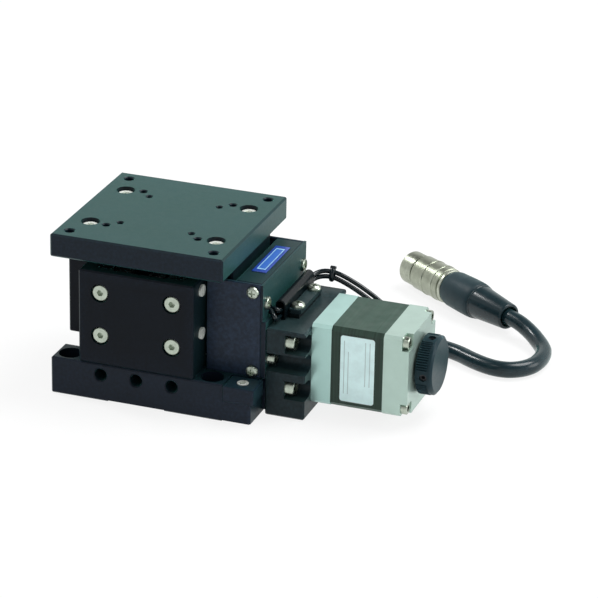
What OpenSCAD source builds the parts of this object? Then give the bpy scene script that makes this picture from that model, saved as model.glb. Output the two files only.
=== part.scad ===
// Motorised vertical stage: a horizontal table lifted by a wedge that a
// lead screw pushes, guided by crossed rollers front and back.
// Origin: centre of the base's bolt pattern on the mounting face.
// X runs along the screw towards the motor, Z is up. Millimetres.

/* [Base] */
// Length of the base from its left edge to its right edge
base_l = 70; // [64:1:80]
// Width of the base, front to back
base_w = 60; // [56:1:70]
// Thickness of the base
base_t = 13; // [12:0.5:18]
// How far the left end is cut away between the ears
notch_l = 10; // [8:0.5:11]
// Width of the base between the ears
web_w = 38; // [34:0.5:40]
// Pitch of the four mounting holes
bolt_pitch = 50; // [46:1:52]
// Diameter of a mounting hole
bolt_d = 4.5; // [3.4:0.1:5]
// Diameter of the counterbore of a mounting hole
bolt_head_d = 8; // [7:0.1:9]
// Depth of the counterbore of a mounting hole
bolt_head_deep = 6.5; // [4:0.1:8]
// Pitch of the holes in the front edge
side_pitch = 12.5; // [11:0.1:13]
// Diameter of the holes in the front edge
side_d = 4.2; // [3:0.1:4.4]
// Depth of the holes in the front edge
side_deep = 8; // [6:0.5:10]
// Height of the holes in the front edge
side_z = 9.2; // [7.6:0.1:10]
// Height of the milled recess under the base
relief = 0.5; // [0.3:0.1:0.8]
// Length of each foot pad under the base
pad_l = 20; // [16:1:24]
// Height of the clamp block let into the right front corner
corner_h = 5.4; // [4:0.1:6]
// Length of the clamp block
corner_l = 10.6; // [9:0.1:11]

/* [Vertical guides] */
// Width of a guide block
block_w = 40; // [38:0.5:44]
// Thickness of a guide block
block_t = 12; // [11.5:0.1:14]
// Height of a guide block
block_h = 32.7; // [31:0.1:36]
// Wall of a guide block in front of its rails
block_wall = 4; // [3.6:0.1:5]
// Length of a guide rail
rail_l = 30; // [28:0.5:31]
// Width of a guide rail across its groove
rail_w = 5.5; // [5:0.1:6]
// Thickness of a guide rail
rail_t = 6; // [5:0.1:6.4]
// Gap between two facing rails
rail_gap = 1; // [0.8:0.1:1.2]
// Pitch of the screws in a rail
rail_pitch = 15; // [12:0.5:17]
// Diameter of a crossed roller
roller_d = 2; // [1.6:0.1:2.2]
// Number of rollers between two rails
roller_n = 8; // [6:1:9]
// Pitch of the rollers in their cage
roller_pitch = 2.5; // [2.4:0.1:2.8]
// Thickness of a roller cage
cage_t = 0.5; // [0.3:0.05:0.6]

/* [Table] */
// Length and width of the table
table_w = 60; // [58:1:70]
// Thickness of the table
table_t = 8; // [7:0.5:12]
// Stroke of the table from end to end
stroke = 5; // [4:0.5:5]
// Pitch of the corner threads of the table
table_m4_pitch = 50; // [48:1:54]
// Pitch of the middle threads of the table
table_m3_pitch = 32; // [30:1:36]
// Pitch of the inner threads of the table
table_m2_pitch = 25; // [22:1:26]
// Pitch of the table's screws along X
table_screw_x = 44; // [40:1:50]
// Pitch of the table's screws along Y
table_screw_y = 30; // [27:0.5:31]
// Length of the carriage
carriage_l = 57.6; // [54:0.4:62]
// Height of the carriage
carriage_h = 31.3; // [30:0.1:31.6]
// Width of the tunnel through the carriage
tunnel_w = 21; // [20.4:0.1:22]
// Thickness of the carriage over the tunnel
tunnel_roof = 6; // [5:0.1:6.5]

/* [Wedge drive] */
// Height of the screw axis
axis_z = 18.3; // [18.1:0.1:19]
// Rise of the ramp per length
ramp_ratio = 0.5; // [0.4:0.05:0.5]
// Diameter of the follower roller
follower_d = 11; // [10:0.1:11.4]
// Width of the follower roller
follower_w = 7; // [5:0.1:8]
// Diameter of the follower's pin
follower_pin_d = 4; // [3:0.1:4.6]
// Height of the follower above the screw axis
follower_up = 17.1; // [16.8:0.1:17.6]
// Width of the wedge
wedge_w = 18; // [16:0.1:18.6]
// Thickness of the hard strip on the ramp
strip_t = 2; // [1.5:0.1:2.2]
// Width of the hard strip on the ramp
strip_w = 10; // [8:0.1:14]
// Diameter of the lead screw
screw_d = 5; // [4:0.1:5.4]
// Diameter of the drive nut
nut_d = 9.9; // [9:0.1:10.2]
// Length of the drive nut
nut_l = 12; // [10:0.5:13]
// Width of the slide rail
slide_rail_w = 7; // [6:0.1:8]
// Height of the slide rail
slide_rail_h = 4.5; // [4:0.1:4.6]
// Width of the slide block
slide_w = 17; // [15:0.1:18]
// Width of the channel in the base
channel_w = 20; // [19.4:0.1:22]
// Depth of the channel in the base
channel_deep = 7; // [6.8:0.1:8]
// Diameter of a screw bearing
bearing_d = 9; // [8:0.1:9.4]
// Width of a screw bearing
bearing_w = 4; // [3:0.1:4.2]
// Diameter of the screw where the bearings sit
journal_d = 4; // [3:0.1:4.2]

/* [Covers] */
// Length of the end block
end_block_l = 9.1; // [9:0.1:9.3]
// Thickness of the side covers
cover_t = 1.2; // [1:0.1:1.8]
// Length of the side covers
cover_l = 18.6; // [17:0.1:18.8]
// Height where the bearing cap ends and the end cover begins
cap_top = 33; // [31.5:0.1:34]
// Thickness of the bearing cap
cap_t = 1.8; // [1.5:0.1:2.2]
// Thickness of the end cover
end_cover_t = 0.8; // [0.6:0.1:1]
// Length of the name plate
plate_l = 23; // [18:0.5:26]
// Width of the name plate
plate_w = 5; // [4:0.1:6]
// Width of the wire cover
wire_cover_w = 3.4; // [3.2:0.1:5]
// Height of the wire cover
wire_cover_h = 6.8; // [6:0.1:8]
// Length of the wire cover
wire_cover_l = 27.6; // [24:0.1:28.6]
// Width of the clamp plate
clamp_w = 4.1; // [3.9:0.1:5]
// Length of the clamp plate
clamp_l = 21.2; // [20:0.1:26]
// Pitch of the clamp plate's screws
clamp_pitch = 15.4; // [12:0.1:17]

/* [Motor] */
// Thickness of the motor bracket
bracket_t = 13.6; // [13:0.1:15]
// Width of the motor bracket
bracket_w = 40.8; // [38:0.1:44]
// Height of the motor bracket
bracket_h = 30.9; // [30.7:0.1:33]
// Size of the motor across its flats
motor_w = 28; // [27.4:0.1:28.6]
// Length of the motor's front flange
motor_front_l = 6.7; // [6:0.1:8]
// Length of the motor's stator
motor_stator_l = 17.7; // [15:0.1:22]
// Length of the motor's rear bracket
motor_rear_l = 8.6; // [7:0.1:10]
// Bevel of the motor's long edges
motor_bevel = 1; // [0.6:0.1:1.6]
// Diameter of the motor's pilot
pilot_d = 22; // [19:0.5:23]
// Pitch of the motor's mounting screws
motor_pitch = 20.6; // [19:0.1:21]
// Diameter of the motor shaft
shaft_d = 5; // [4:0.1:5]
// Diameter of the coupling
coupling_d = 16; // [13:0.5:17]
// Length of a coupling hub
hub_l = 4; // [3.5:0.1:4.2]
// Diameter of the hand knob
knob_d = 20; // [17:0.5:24]
// Length of the hand knob
knob_l = 4.8; // [4.4:0.1:8]
// Gap between the motor and the hand knob
knob_gap = 1.6; // [1:0.1:2.5]
// Number of grooves round the hand knob
knurl_n = 60; // [40:2:72]

/* [Cable and connector] */
// Diameter of the cable
cable_d = 5.6; // [5:0.1:5.8]
// Diameter of the connector's nose
plug_d = 11.8; // [11:0.1:12.4]
// Diameter of the connector's coupling sleeve
sleeve_d = 13; // [12.4:0.1:13.2]
// Length of the connector's metal shell
plug_l = 22.9; // [20:0.1:26]
// Diameter of the connector's black barrel
barrel_d = 13.2; // [12.6:0.1:13.2]
// Length of the connector's black barrel
barrel_l = 15.5; // [14:0.1:24]
// Length of the tapered boot
boot_l = 15.6; // [12:0.1:20]

/* [Hidden] */
$fn = 48;
eps = 0.01;

// Clearances
fit_gap = 0.05;    // screw or pin in its own hole, and a journal in its bearing
run_gap = 0.3;     // between pieces that pass each other
stop_gap = 0.3;    // left under the table at the bottom of its stroke
soft_gap = 0.4;    // between the carriage and the guide blocks
edge = 0.5;        // chamfer of machined edges
rail_foot = 0.5;   // least room under the guide rails
cover_gap = 1.7;   // least room between the carriage and a side cover

// Screws: [thread, head diameter, head height, key or cross size]
M2 = [2, 3.8, 2, 1.5];
M25 = [2.5, 4.4, 2.6, 2];
M3 = [3, 5.5, 3, 2.5];
M3_low = [3, 5.5, 2.4, 2];
M25_low = [2.5, 4.2, 1, 2];
PAN = [2.5, 4.2, 1.5, 2.2];
PAN_wide = [2.5, 4.6, 1.6, 2.4];

// Places along X
x0 = -base_l / 2 + 5;               // left edge of the base
x1 = x0 + base_l;                   // right edge of the base
end_x = x1 - 0.4;                   // right face of the end block
cap_x = end_x + cap_t;              // left face of the motor bracket
motor_x = cap_x + bracket_t;        // front face of the motor
stator_x = motor_x + motor_front_l;
rear_x = stator_x + motor_stator_l;
motor_end = rear_x + motor_rear_l;
knob_x = motor_end + knob_gap;
block_x = end_x - end_block_l;      // left face of the end block

// Heights
block_top = base_t + max(block_h, rail_l + rail_foot);
table_z = block_top + stop_gap + stroke / 2;   // underside of the table
table_top = table_z + table_t;
channel_z = base_t - channel_deep;
rail_z = block_top - rail_l;                   // foot of the guide rails
rail_mid = rail_z + rail_l / 2;

// Guides: rails stand behind the wall of each block
front_y = -base_w / 2;
rail_y = front_y + block_wall;
groove_y = rail_y + rail_t / 2;
block_back = front_y + block_t;
roller_x = (rail_w * 2 + rail_gap * 2 + 5) / 2;  // middle of a roller row
fixed_x = roller_x + rail_gap / 2;               // grooved face of a fixed rail
moving_x = roller_x - rail_gap / 2;              // grooved face of a moving rail
fixed_out = fixed_x + rail_w;
hole_in = 2.5;                                   // rail hole to the rail's back
fixed_hole_x = fixed_out - hole_in;
moving_hole_x = moving_x - rail_w + hole_in;
rail_deep = 3;                                   // thread left in a rail behind its screw

carriage_x1 = block_x - 1.7;                     // the carriage ends short of the end block
carriage_x0 = carriage_x1 - carriage_l;
carriage_y = block_back + soft_gap;              // front face of the carriage
carriage_z = table_z - carriage_h;
tunnel_z = table_z - tunnel_roof;
tunnel_wall_x = 4;                               // wall at the tunnel's closed end

// Ramp: the strip's face passes just under the follower
follower_z = axis_z + follower_up;
follower_r = follower_d / 2;
ramp_a = atan(ramp_ratio);
touch_x = follower_r * sin(ramp_a);
touch_z = follower_z - (follower_r + fit_gap) * cos(ramp_a);
slide_travel = stroke / ramp_ratio;
ramp_lo = -7;
ramp_hi = 13;
wedge_x0 = -9;
wedge_x1 = 20;
slide_z = channel_z + slide_rail_h + 2;          // top of the slide block
wedge_back_z = axis_z + nut_d / 2 + 3;           // top of the wedge over its nut
function ramp_z(x) = touch_z + ramp_ratio * (x - touch_x);
strip_drop = strip_t / cos(ramp_a);

// Covers
cover_y = max(bracket_w / 2 + 0.1, cover_t + cover_gap - carriage_y);  // outer face of the side covers
end_block_y = cover_y - cover_t;
cover_screw_x = end_x - 2.6;
cover_screw_lo = base_t + PAN[1] / 2 + 0.1;      // the head clears the base
cover_screw_hi = block_top - 2.8;
end_screw_y = end_block_y - 2.2;
end_screw_z = block_top - 7.2;
cap_screw_z = axis_z + 1;
wire_hole_y = -13.6;
wire_hole_z = max(cap_top, bracket_h) + 1.8;     // clear of the cap and of the bracket
wire_hole_d = 3.4;

// Bracket
pocket_r = 3.2;
slot_y = bracket_w / 2 - pocket_r;               // screw pockets, open to the side
pocket_x = cap_x + 6.6;                          // floor of the screw pockets
pocket_dz = 8.1;
motor_bearing_d = 11;
motor_bearing_w = 4;
bracket_z = 0.3;
bracket_screw_l = 12;
flange_t = 3.5;
motor_mount = M2;

// Wire cover and clamp plate lie on the bracket
wire_y0 = -11.6;
wire_x = cap_x + 0.1 + wire_cover_w / 2;
wire_wall = 0.5;
foot_t = 1.5;
clamp_t = 1.5;
clamp_x0 = wire_x + wire_cover_w / 2 + 0.2;
clamp_y = 1.7;
clamp_screw_x = wire_x + wire_cover_w / 2 + PAN_wide[1] / 2 + 0.15;
corner_x0 = -x0 + 0.6;                           // clamp block in the corner of the base
corner_y0 = front_y - 0.8;
corner_y1 = -web_w / 2 - 2.3;
moving_screw_l = -tunnel_w / 2 - 3.2 - rail_y - rail_t + rail_deep;

// Node to build

// ---------------------------------------------------------------- helpers

module mirror_copy(v) {
    children();
    mirror(v) children();
}

// Rectangle with its corners cut at 45 degrees
module cut_square(w, h, c) {
    polygon([
        [-w/2 + c, -h/2], [w/2 - c, -h/2], [w/2, -h/2 + c], [w/2, h/2 - c],
        [w/2 - c, h/2], [-w/2 + c, h/2], [-w/2, h/2 - c], [-w/2, -h/2 + c]
    ]);
}

// Block between two corners, every edge chamfered
module block(lo, hi, c = edge) {
    s = hi - lo;
    translate((lo + hi) / 2) intersection() {
        linear_extrude(s.z, center = true) cut_square(s.x, s.y, c);
        rotate([90, 0, 0]) linear_extrude(s.y, center = true) cut_square(s.x, s.z, c);
        rotate([90, 0, 90]) linear_extrude(s.x, center = true) cut_square(s.y, s.z, c);
    }
}

// Plain block between two corners
module bar(lo, hi) {
    translate(lo) cube(hi - lo);
}

// Put a Z-built piece along +X, -X, -Y
module along_x() rotate([0, 90, 0]) children();
module along_minus_x() rotate([0, -90, 0]) children();
module along_minus_y() rotate([90, 0, 0]) children();

// Cap screw: seat at z = 0, head above, shank below
module cap_screw(s, l) {
    difference() {
        union() {
            translate([0, 0, -l]) cylinder(d = s[0], h = l + eps);
            cylinder(d = s[1], h = s[2] - 0.2);
            translate([0, 0, s[2] - 0.2 - eps])
                cylinder(d1 = s[1], d2 = s[1] - 0.5, h = 0.2 + eps);
        }
        translate([0, 0, s[2] * 0.45])
            cylinder(d = s[3] / cos(30), h = s[2], $fn = 6);
    }
}

// Pan screw with a cross recess: seat at z = 0
module pan_screw(s, l) {
    difference() {
        union() {
            translate([0, 0, -l]) cylinder(d = s[0], h = l + eps);
            rotate_extrude() polygon([
                [0, 0], [s[1]/2, 0], [s[1]/2, s[2] * 0.35],
                [s[1] * 0.44, s[2] * 0.7], [s[1] * 0.3, s[2] * 0.93], [0, s[2]]
            ]);
        }
        for (a = [0, 90]) rotate([0, 0, a])
            translate([-s[3]/2, -s[3] * 0.12, s[2] * 0.4])
                cube([s[3], s[3] * 0.24, s[2]]);
    }
}

// Hole for a screw: tapped or clear below the seat, counterbore above it
module screw_hole(s, l, head_room = 0, gap = fit_gap) {
    translate([0, 0, -l]) cylinder(d = s[0] + 2 * gap, h = l + 2 * eps);
    if (head_room > 0) cylinder(d = s[1] + 0.8, h = head_room);
}

// Small countersink at the mouth of a threaded hole (mouth at z = 0)
module hole_mouth(d, c = 0.4) {
    translate([0, 0, -c]) cylinder(d1 = d, d2 = d + 2 * c + 2 * eps, h = c + eps);
}

// Closed tube swept along a route, one ring per point
function unit(v) = v / norm(v);
function route_dir(p, i) =
    unit(p[min(i + 1, len(p) - 1)] - p[max(i - 1, 0)]);
function ring(p, i, r, n, up) =
    let (t = route_dir(p, i), u = unit(cross(t, up)), v = cross(u, t))
    [for (k = [0 : n - 1]) p[i] + r * (cos(360 * k / n) * u + sin(360 * k / n) * v)];
module tube(p, d, n = 8, up = [0, 0, 1]) {
    m = len(p);
    pts = [for (i = [0 : m - 1]) each ring(p, i, d / 2, n, up)];
    sides = [for (i = [0 : m - 2], k = [0 : n - 1])
        let (a = i * n + k, b = i * n + (k + 1) % n) each [[a, b, b + n], [a, b + n, a + n]]];
    polyhedron(pts, concat(
        [[for (k = [n - 1 : -1 : 0]) k]], sides, [[for (k = [0 : n - 1]) (m - 1) * n + k]]
    ), convexity = 6);
}

// ---------------------------------------------------------------- screw places

module at_rail_screws() mirror_copy([0, 1, 0]) mirror_copy([1, 0, 0])
    for (z = [-1, 1]) translate([fixed_hole_x, front_y + 2.8, rail_mid + z * rail_pitch / 2])
        along_minus_y() children();

module at_moving_rail_screws() mirror_copy([0, 1, 0]) mirror_copy([1, 0, 0])
    for (z = [-1, 1]) translate([moving_hole_x, -tunnel_w/2 - 3.2, rail_mid + z * rail_pitch / 2])
        rotate([-90, 0, 0]) children();

module at_preload_screws() mirror_copy([0, 1, 0])
    for (z = [-1, 1]) translate([block_w / 2, groove_y, rail_mid + 3.7 + z * rail_pitch / 2])
        along_x() children();

module at_table_screws() for (x = [-1, 1], y = [-1, 1])
    translate([x * table_screw_x / 2, y * table_screw_y / 2, table_z + 3.8]) children();

module at_base_screws() {
    for (x = [-1, 1], y = [-1, 1])
        translate([x * (block_w / 2 - 2.5), y * (base_w / 2 - block_t / 2), 3.4])
            rotate([180, 0, 0]) children();
    for (y = [-1, 1]) translate([block_x + end_block_l / 2, y * (end_block_y - 5.5), 3.4])
        rotate([180, 0, 0]) children();
}

module at_pan_screws() {
    mirror_copy([0, 1, 0]) for (z = [cover_screw_lo, cover_screw_hi])
        translate([cover_screw_x, -cover_y, z]) along_minus_y() children();
}

module at_clamp_screws() for (y = [-1, 1])
    translate([clamp_screw_x, clamp_y + y * clamp_pitch / 2, bracket_h + foot_t + clamp_t])
        children();

module at_end_cover_screws() for (y = [-1, 1])
    translate([end_x + end_cover_t, y * end_screw_y, end_screw_z]) along_x() children();

module at_cap_screws() for (y = [-1, 1])
    translate([cap_x, y * end_screw_y, cap_screw_z]) along_x() children();

module at_bracket_screws() for (y = [-1, 1], z = [-1, 1])
    translate([pocket_x, y * slot_y, axis_z + z * pocket_dz]) along_x() children();

module at_motor_mount() for (y = [-1, 1], z = [-1, 1])
    translate([motor_x - flange_t, y * motor_pitch / 2, axis_z + z * motor_pitch / 2])
        along_minus_x() children();

module at_motor_screws() for (y = [-1, 1], z = [-1, 1])
    translate([motor_end - 2.4, y * motor_screw_y, axis_z + z * motor_screw_y]) along_x() children();

module at_slide_screws() for (x = [slide_x0 + 4, slide_x0 + 22, block_x - 5.5])
    translate([x, 0, channel_z + slide_rail_h - 2.4]) children();

motor_screw_y = motor_w / 2 - 2.5;

module at_set_screws() for (a = [5, 95])
    translate([knob_x + knob_l * 0.42, 0, axis_z]) rotate([a, 0, 0])
        translate([0, 0, knob_d / 2 - 0.6]) children();

// ---------------------------------------------------------------- base

module base_plate() color("#20242a") difference() {
    union() {
        block([x0, -base_w/2, 0], [x1, base_w/2, base_t]);
        bar([x1 - 2, -web_w/2, 1.5], [cap_x, web_w/2, base_t - eps]);
    }
    // left end is open between the ears
    bar([x0 - 1, -web_w/2, -1], [x0 + notch_l, web_w/2, base_t + 1]);
    // feet: the middle and the right end stand clear of the mounting face
    bar([x0 + pad_l, -base_w, -1], [-x0 - pad_l, base_w, relief]);
    bar([-x0, -base_w, -1], [cap_x + 1, base_w, relief]);
    // channel for the slide rail
    bar([x0 - 1, -channel_w/2, channel_z], [block_x - 0.5, channel_w/2, base_t + 1]);
    // mounting holes
    for (x = [-1, 1], y = [-1, 1]) translate([x * bolt_pitch/2, y * bolt_pitch/2, 0]) {
        translate([0, 0, -1]) cylinder(d = bolt_d, h = base_t + 2);
        translate([0, 0, base_t - bolt_head_deep]) cylinder(d = bolt_head_d, h = base_t);
    }
    // holes in the front edge
    for (i = [-1, 0, 1]) translate([i * side_pitch, front_y, side_z]) along_minus_y() {
        translate([0, 0, -side_deep]) cylinder(d = side_d, h = side_deep + 1);
        hole_mouth(side_d);
    }
    // seat of the corner block
    bar([corner_x0 - 0.3, -base_w, base_t - corner_h - 0.3], [x1 + 5, corner_y1 + 0.3, base_t + 1]);
    at_corner_screw() translate([0, 0, -base_t]) cylinder(d = M3[0] + 2 * fit_gap, h = base_t);
    at_base_screws() { screw_hole(M3, base_t); cylinder(d = M3[1] + 0.6, h = 6); }
    at_bracket_screws() screw_hole(M3, bracket_screw_l + 2);
    at_slide_screws() screw_hole(M2, 5.2);
    spring_pin_bar(channel_z + 3.5, 2 * fit_gap);
}

module base_screws() color("silver")
    at_base_screws() cap_screw(M3, base_t + 3);

module at_corner_screw()
    translate([corner_x0 + corner_l / 2, (corner_y0 + corner_y1) / 2, base_t]) children();

module corner_block() color("#23272e") difference() {
    block([corner_x0, corner_y0, base_t - corner_h], [corner_x0 + corner_l, corner_y1, base_t], 0.3);
    at_corner_screw() translate([0, 0, 1]) screw_hole([3.8, 5, 2, 2], corner_h + 3.6);
}

module corner_block_screw() color("silver") at_corner_screw() difference() {
    translate([0, 0, -corner_h + 0.4]) cylinder(d = 3.8, h = corner_h - 0.2);
    translate([0, 0, -1.6]) cylinder(d = 2.3, h = 2, $fn = 6);
}

// ---------------------------------------------------------------- vertical guides

module guide_block() color("#1f232a") difference() {
    block([-block_w/2, front_y, base_t], [block_w/2, block_back, block_top]);
    // pocket for the four rails, relieved behind the moving pair
    bar([-fixed_out - fit_gap, rail_y, base_t - 1], [fixed_out + 0.2, block_back + 1, block_top + 1]);
    bar([-roller_x, rail_y - 0.8, base_t - 1], [roller_x, rail_y + 1, block_top + 1]);
    at_rail_screws() screw_hole(M3_low, 12, 4);
    at_preload_screws() screw_hole(M3, 8);
    at_base_screws() screw_hole(M3, base_t + 5);
}
module front_guide_block() guide_block();
module rear_guide_block() mirror([0, 1, 0]) guide_block();

module rail_screws() color("silver")
    at_rail_screws() cap_screw(M3_low, block_wall - 2.8 + rail_deep);

// Vee groove of a rail: a square bar on its corner, with a relief at its foot
module vee(len) rotate([0, 0, 45]) {
    cube([roller_d, roller_d, len], center = true);
    rotate([0, 0, 45]) cube([roller_d * sqrt(2) + 0.5, 0.4, len], center = true);
}

module rail(x_face, side) difference() {
    translate([side > 0 ? x_face : x_face - rail_w, rail_y, rail_z]) cube([rail_w, rail_t, rail_l]);
    translate([roller_x, groove_y, rail_mid]) vee(rail_l + 2);
}

module fixed_rails() color("#b8bcc0") difference() {
    mirror_copy([0, 1, 0]) mirror_copy([1, 0, 0]) rail(fixed_x, 1);
    at_rail_screws() screw_hole(M3_low, block_wall - 2.8 + rail_deep + 0.3);
}

module moving_rails() color("#b8bcc0") difference() {
    mirror_copy([0, 1, 0]) mirror_copy([1, 0, 0]) rail(moving_x, -1);
    at_moving_rail_screws() screw_hole(M3_low, moving_screw_l + 2.5);
}

module moving_rail_screws() color("silver")
    at_moving_rail_screws() cap_screw(M3_low, moving_screw_l);

module preload_screws() color("silver") at_preload_screws() difference() {
    union() {
        translate([0, 0, -(block_w/2 - fixed_out - 0.25)]) cylinder(d = 3, h = block_w/2 - fixed_out - 0.2);
        cylinder(d = 4, h = 0.8);
    }
    translate([-2.5, -0.3, 0.35]) cube([5, 0.6, 1]);
}

cage_l = (roller_n - 1) * roller_pitch + roller_d + 1.6;
module at_rollers() mirror_copy([0, 1, 0]) mirror_copy([1, 0, 0])
    for (i = [0 : roller_n - 1])
        translate([roller_x, groove_y, rail_mid + (i - (roller_n - 1) / 2) * roller_pitch])
            rotate([0, 0, i % 2 == 0 ? 45 : -45]) rotate([90, 0, 0]) children();

module roller_cages() color("#c9a24a") difference() {
    mirror_copy([0, 1, 0]) mirror_copy([1, 0, 0])
        translate([roller_x, groove_y, rail_mid])
            cube([cage_t, rail_t - 2, cage_l], center = true);
    at_rollers() cylinder(d = roller_d + 0.1, h = roller_d * 2, center = true);
}

module guide_rollers() color("#d5d8da")
    at_rollers() cylinder(d = roller_d - 0.16, h = roller_d - 0.3, center = true, $fn = 24);

// ---------------------------------------------------------------- carriage and table

module carriage() color("#22262c") difference() {
    union() {
        block([carriage_x0, carriage_y, carriage_z], [carriage_x1, -carriage_y, table_z]);
        // tongues that carry the moving rails
        mirror_copy([0, 1, 0])
            bar([-moving_x, rail_y + rail_t, rail_z + 1], [moving_x, carriage_y + 1, table_z - 1]);
    }
    bar([carriage_x0 + tunnel_wall_x, -tunnel_w/2, carriage_z - 1], [carriage_x1 + 1, tunnel_w/2, tunnel_z]);
    bar([-moving_x - 1, -tunnel_w/2, rail_z], [moving_x + 1, tunnel_w/2, carriage_z + 1]);
    at_moving_rail_screws() screw_hole(M3_low, moving_screw_l + 2.5, 4);
    at_table_screws() screw_hole(M3, 12);
    translate([0, 0, follower_z]) rotate([90, 0, 0])
        cylinder(d = follower_pin_d + 2 * fit_gap, h = tunnel_w + 7.2, center = true);
    spring_pin_bar(tunnel_z - 3, 2 * fit_gap);
}

module table_plate() color("#4d5f5e") difference() {
    block([-table_w/2, -table_w/2, table_z], [table_w/2, table_w/2, table_top], 0.6);
    table_threads(table_m4_pitch, 3.3);
    table_threads(table_m3_pitch, 2.5);
    table_threads(table_m2_pitch, 2.1);
    at_table_screws() screw_hole(M3, 5, 6);
}

module table_threads(pitch, d) for (x = [-1, 1], y = [-1, 1])
    translate([x * pitch/2, y * pitch/2, table_top]) {
        translate([0, 0, -table_t - 1]) cylinder(d = d, h = table_t + 2);
        hole_mouth(d, 0.35);
    }

module table_screws() color("silver")
    at_table_screws() cap_screw(M3, 3.8 + 7);

module follower_pin() color("#c2c5c8")
    translate([0, 0, follower_z]) rotate([90, 0, 0])
        cylinder(d = follower_pin_d, h = tunnel_w + 7, center = true);

module follower_spacers() color("#a9adb0") mirror_copy([0, 1, 0])
    translate([0, -follower_w/2 - 0.2, follower_z]) rotate([90, 0, 0]) difference() {
        cylinder(d = follower_pin_d + 3, h = tunnel_w/2 - follower_w/2 - 0.3);
        translate([0, 0, -1]) cylinder(d = follower_pin_d + 2 * fit_gap, h = tunnel_w);
    }

module follower_roller() color("#c2c5c8")
    translate([0, 0, follower_z]) rotate([90, 0, 0]) difference() {
        cylinder(d = follower_d, h = follower_w, center = true);
        cylinder(d = follower_pin_d + 2 * fit_gap, h = follower_w + 1, center = true);
    }

// ---------------------------------------------------------------- springs

spring_x = -17;
spring_y = 6;
spring_d = 4;
spring_wire = 0.5;
spring_turns = 11;
pin_d = 2;

module spring_pin_bar(z, gap = 0)
    translate([spring_x, 0, z]) rotate([90, 0, 0])
        cylinder(d = pin_d + gap, h = channel_w + 4 + gap * 4, center = true);
module upper_spring_pin() color("silver") spring_pin_bar(tunnel_z - 3);
module lower_spring_pin() color("silver") spring_pin_bar(channel_z + 3.5);

// Tension springs between the two pins, each one wire wound in a helix
spring_lo = channel_z + 3.5 + pin_d/2 + spring_wire/2 + 0.1;
spring_hi = tunnel_z - 3 - pin_d/2 - spring_wire/2 - 0.1;
module return_springs() color("#9aa0a5") for (y = [-1, 1])
    translate([spring_x, y * spring_y, 0])
        tube([for (i = [0 : spring_turns * 10])
            [(spring_d - spring_wire) / 2 * cos(i * 36), (spring_d - spring_wire) / 2 * sin(i * 36),
             spring_lo + (spring_hi - spring_lo) * i / (spring_turns * 10)]],
            spring_wire, 5);

// ---------------------------------------------------------------- wedge drive

slide_x0 = -14;
module slide_rail() color("#b8bcc0") difference() {
    bar([slide_x0, -slide_rail_w/2, channel_z], [block_x - 1, slide_rail_w/2, channel_z + slide_rail_h]);
    mirror_copy([0, 1, 0]) translate([0, slide_rail_w/2, channel_z + slide_rail_h * 0.6])
        rotate([0, 90, 0]) cylinder(d = 1, h = 4 * block_x, center = true);
    at_slide_screws() screw_hole(M2, 6, 5);
}

module slide_rail_screws() color("silver") at_slide_screws() cap_screw(M2, 4.4);

module slide_block() color("#a9adb0") difference() {
    bar([wedge_x0 + 3, -slide_w/2, channel_z + 1.5], [wedge_x1 - 2, slide_w/2, slide_z]);
    bar([wedge_x0, -slide_rail_w/2 - 0.15, channel_z], [wedge_x1, slide_rail_w/2 + 0.15, channel_z + slide_rail_h + 0.2]);
}

module wedge_block() color("#8d9296") difference() {
    union() {
        rotate([90, 0, 0]) linear_extrude(wedge_w, center = true) polygon([
            [wedge_x0, slide_z], [wedge_x1, slide_z], [wedge_x1, wedge_back_z],
            [ramp_hi + 1, wedge_back_z], [ramp_hi + 1, ramp_z(ramp_hi) - strip_drop],
            [ramp_hi, ramp_z(ramp_hi) - strip_drop],
            [ramp_lo, ramp_z(ramp_lo) - strip_drop], [wedge_x0, ramp_z(ramp_lo) - strip_drop]
        ]);
        // flag that enters the limit sensor
        bar([ramp_hi, -0.4, wedge_back_z + 0.5], [wedge_x1 + 2, 0.4, sensor_z + 4]);
    }
    translate([wedge_x0 - 1, 0, axis_z]) along_x() cylinder(d = screw_d + 1.4, h = wedge_x1 - wedge_x0 + 2);
    translate([wedge_x1 - nut_l + 2, 0, axis_z]) along_x() cylinder(d = nut_d + 2 * fit_gap, h = nut_l);
}

module ramp_strip() color("#d5d8da")
    rotate([90, 0, 0]) linear_extrude(strip_w, center = true) polygon([
        [ramp_lo, ramp_z(ramp_lo) - strip_drop], [ramp_hi, ramp_z(ramp_hi) - strip_drop],
        [ramp_hi, ramp_z(ramp_hi)], [ramp_lo, ramp_z(ramp_lo)]
    ]);

module drive_nut() color("#b08d3c") difference() {
    translate([wedge_x1 - nut_l + 2, 0, axis_z]) along_x() {
        cylinder(d = nut_d, h = nut_l - 2);
        translate([0, 0, nut_l - 2]) cylinder(d = nut_d + 5, h = 2.5);
    }
    bar([0, -nut_d, 0], [2 * wedge_x1, nut_d, channel_z + slide_rail_h + 0.8]);
    translate([0, 0, axis_z]) along_x() cylinder(d = screw_d + 2 * 0.08, h = 2 * wedge_x1);
}

screw_x0 = -14;
module lead_screw() color("#c2c5c8") translate([0, 0, axis_z]) along_x() {
    translate([0, 0, screw_x0]) cylinder(d = screw_d, h = block_x - 0.2 - screw_x0);
    translate([0, 0, block_x - 0.2 - eps]) cylinder(d = journal_d, h = cap_x + 0.8 + hub_l - block_x);
}

sensor_z = axis_z + nut_d/2 + 5;
module limit_sensor() color("#15171a") difference() {
    bar([block_x - 6, -3, sensor_z - 0.5], [block_x, 3, sensor_z + 5.5]);
    bar([block_x - 7, -0.8, sensor_z - 1.5], [block_x - 1.5, 0.8, sensor_z + 6.5]);
}

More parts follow.
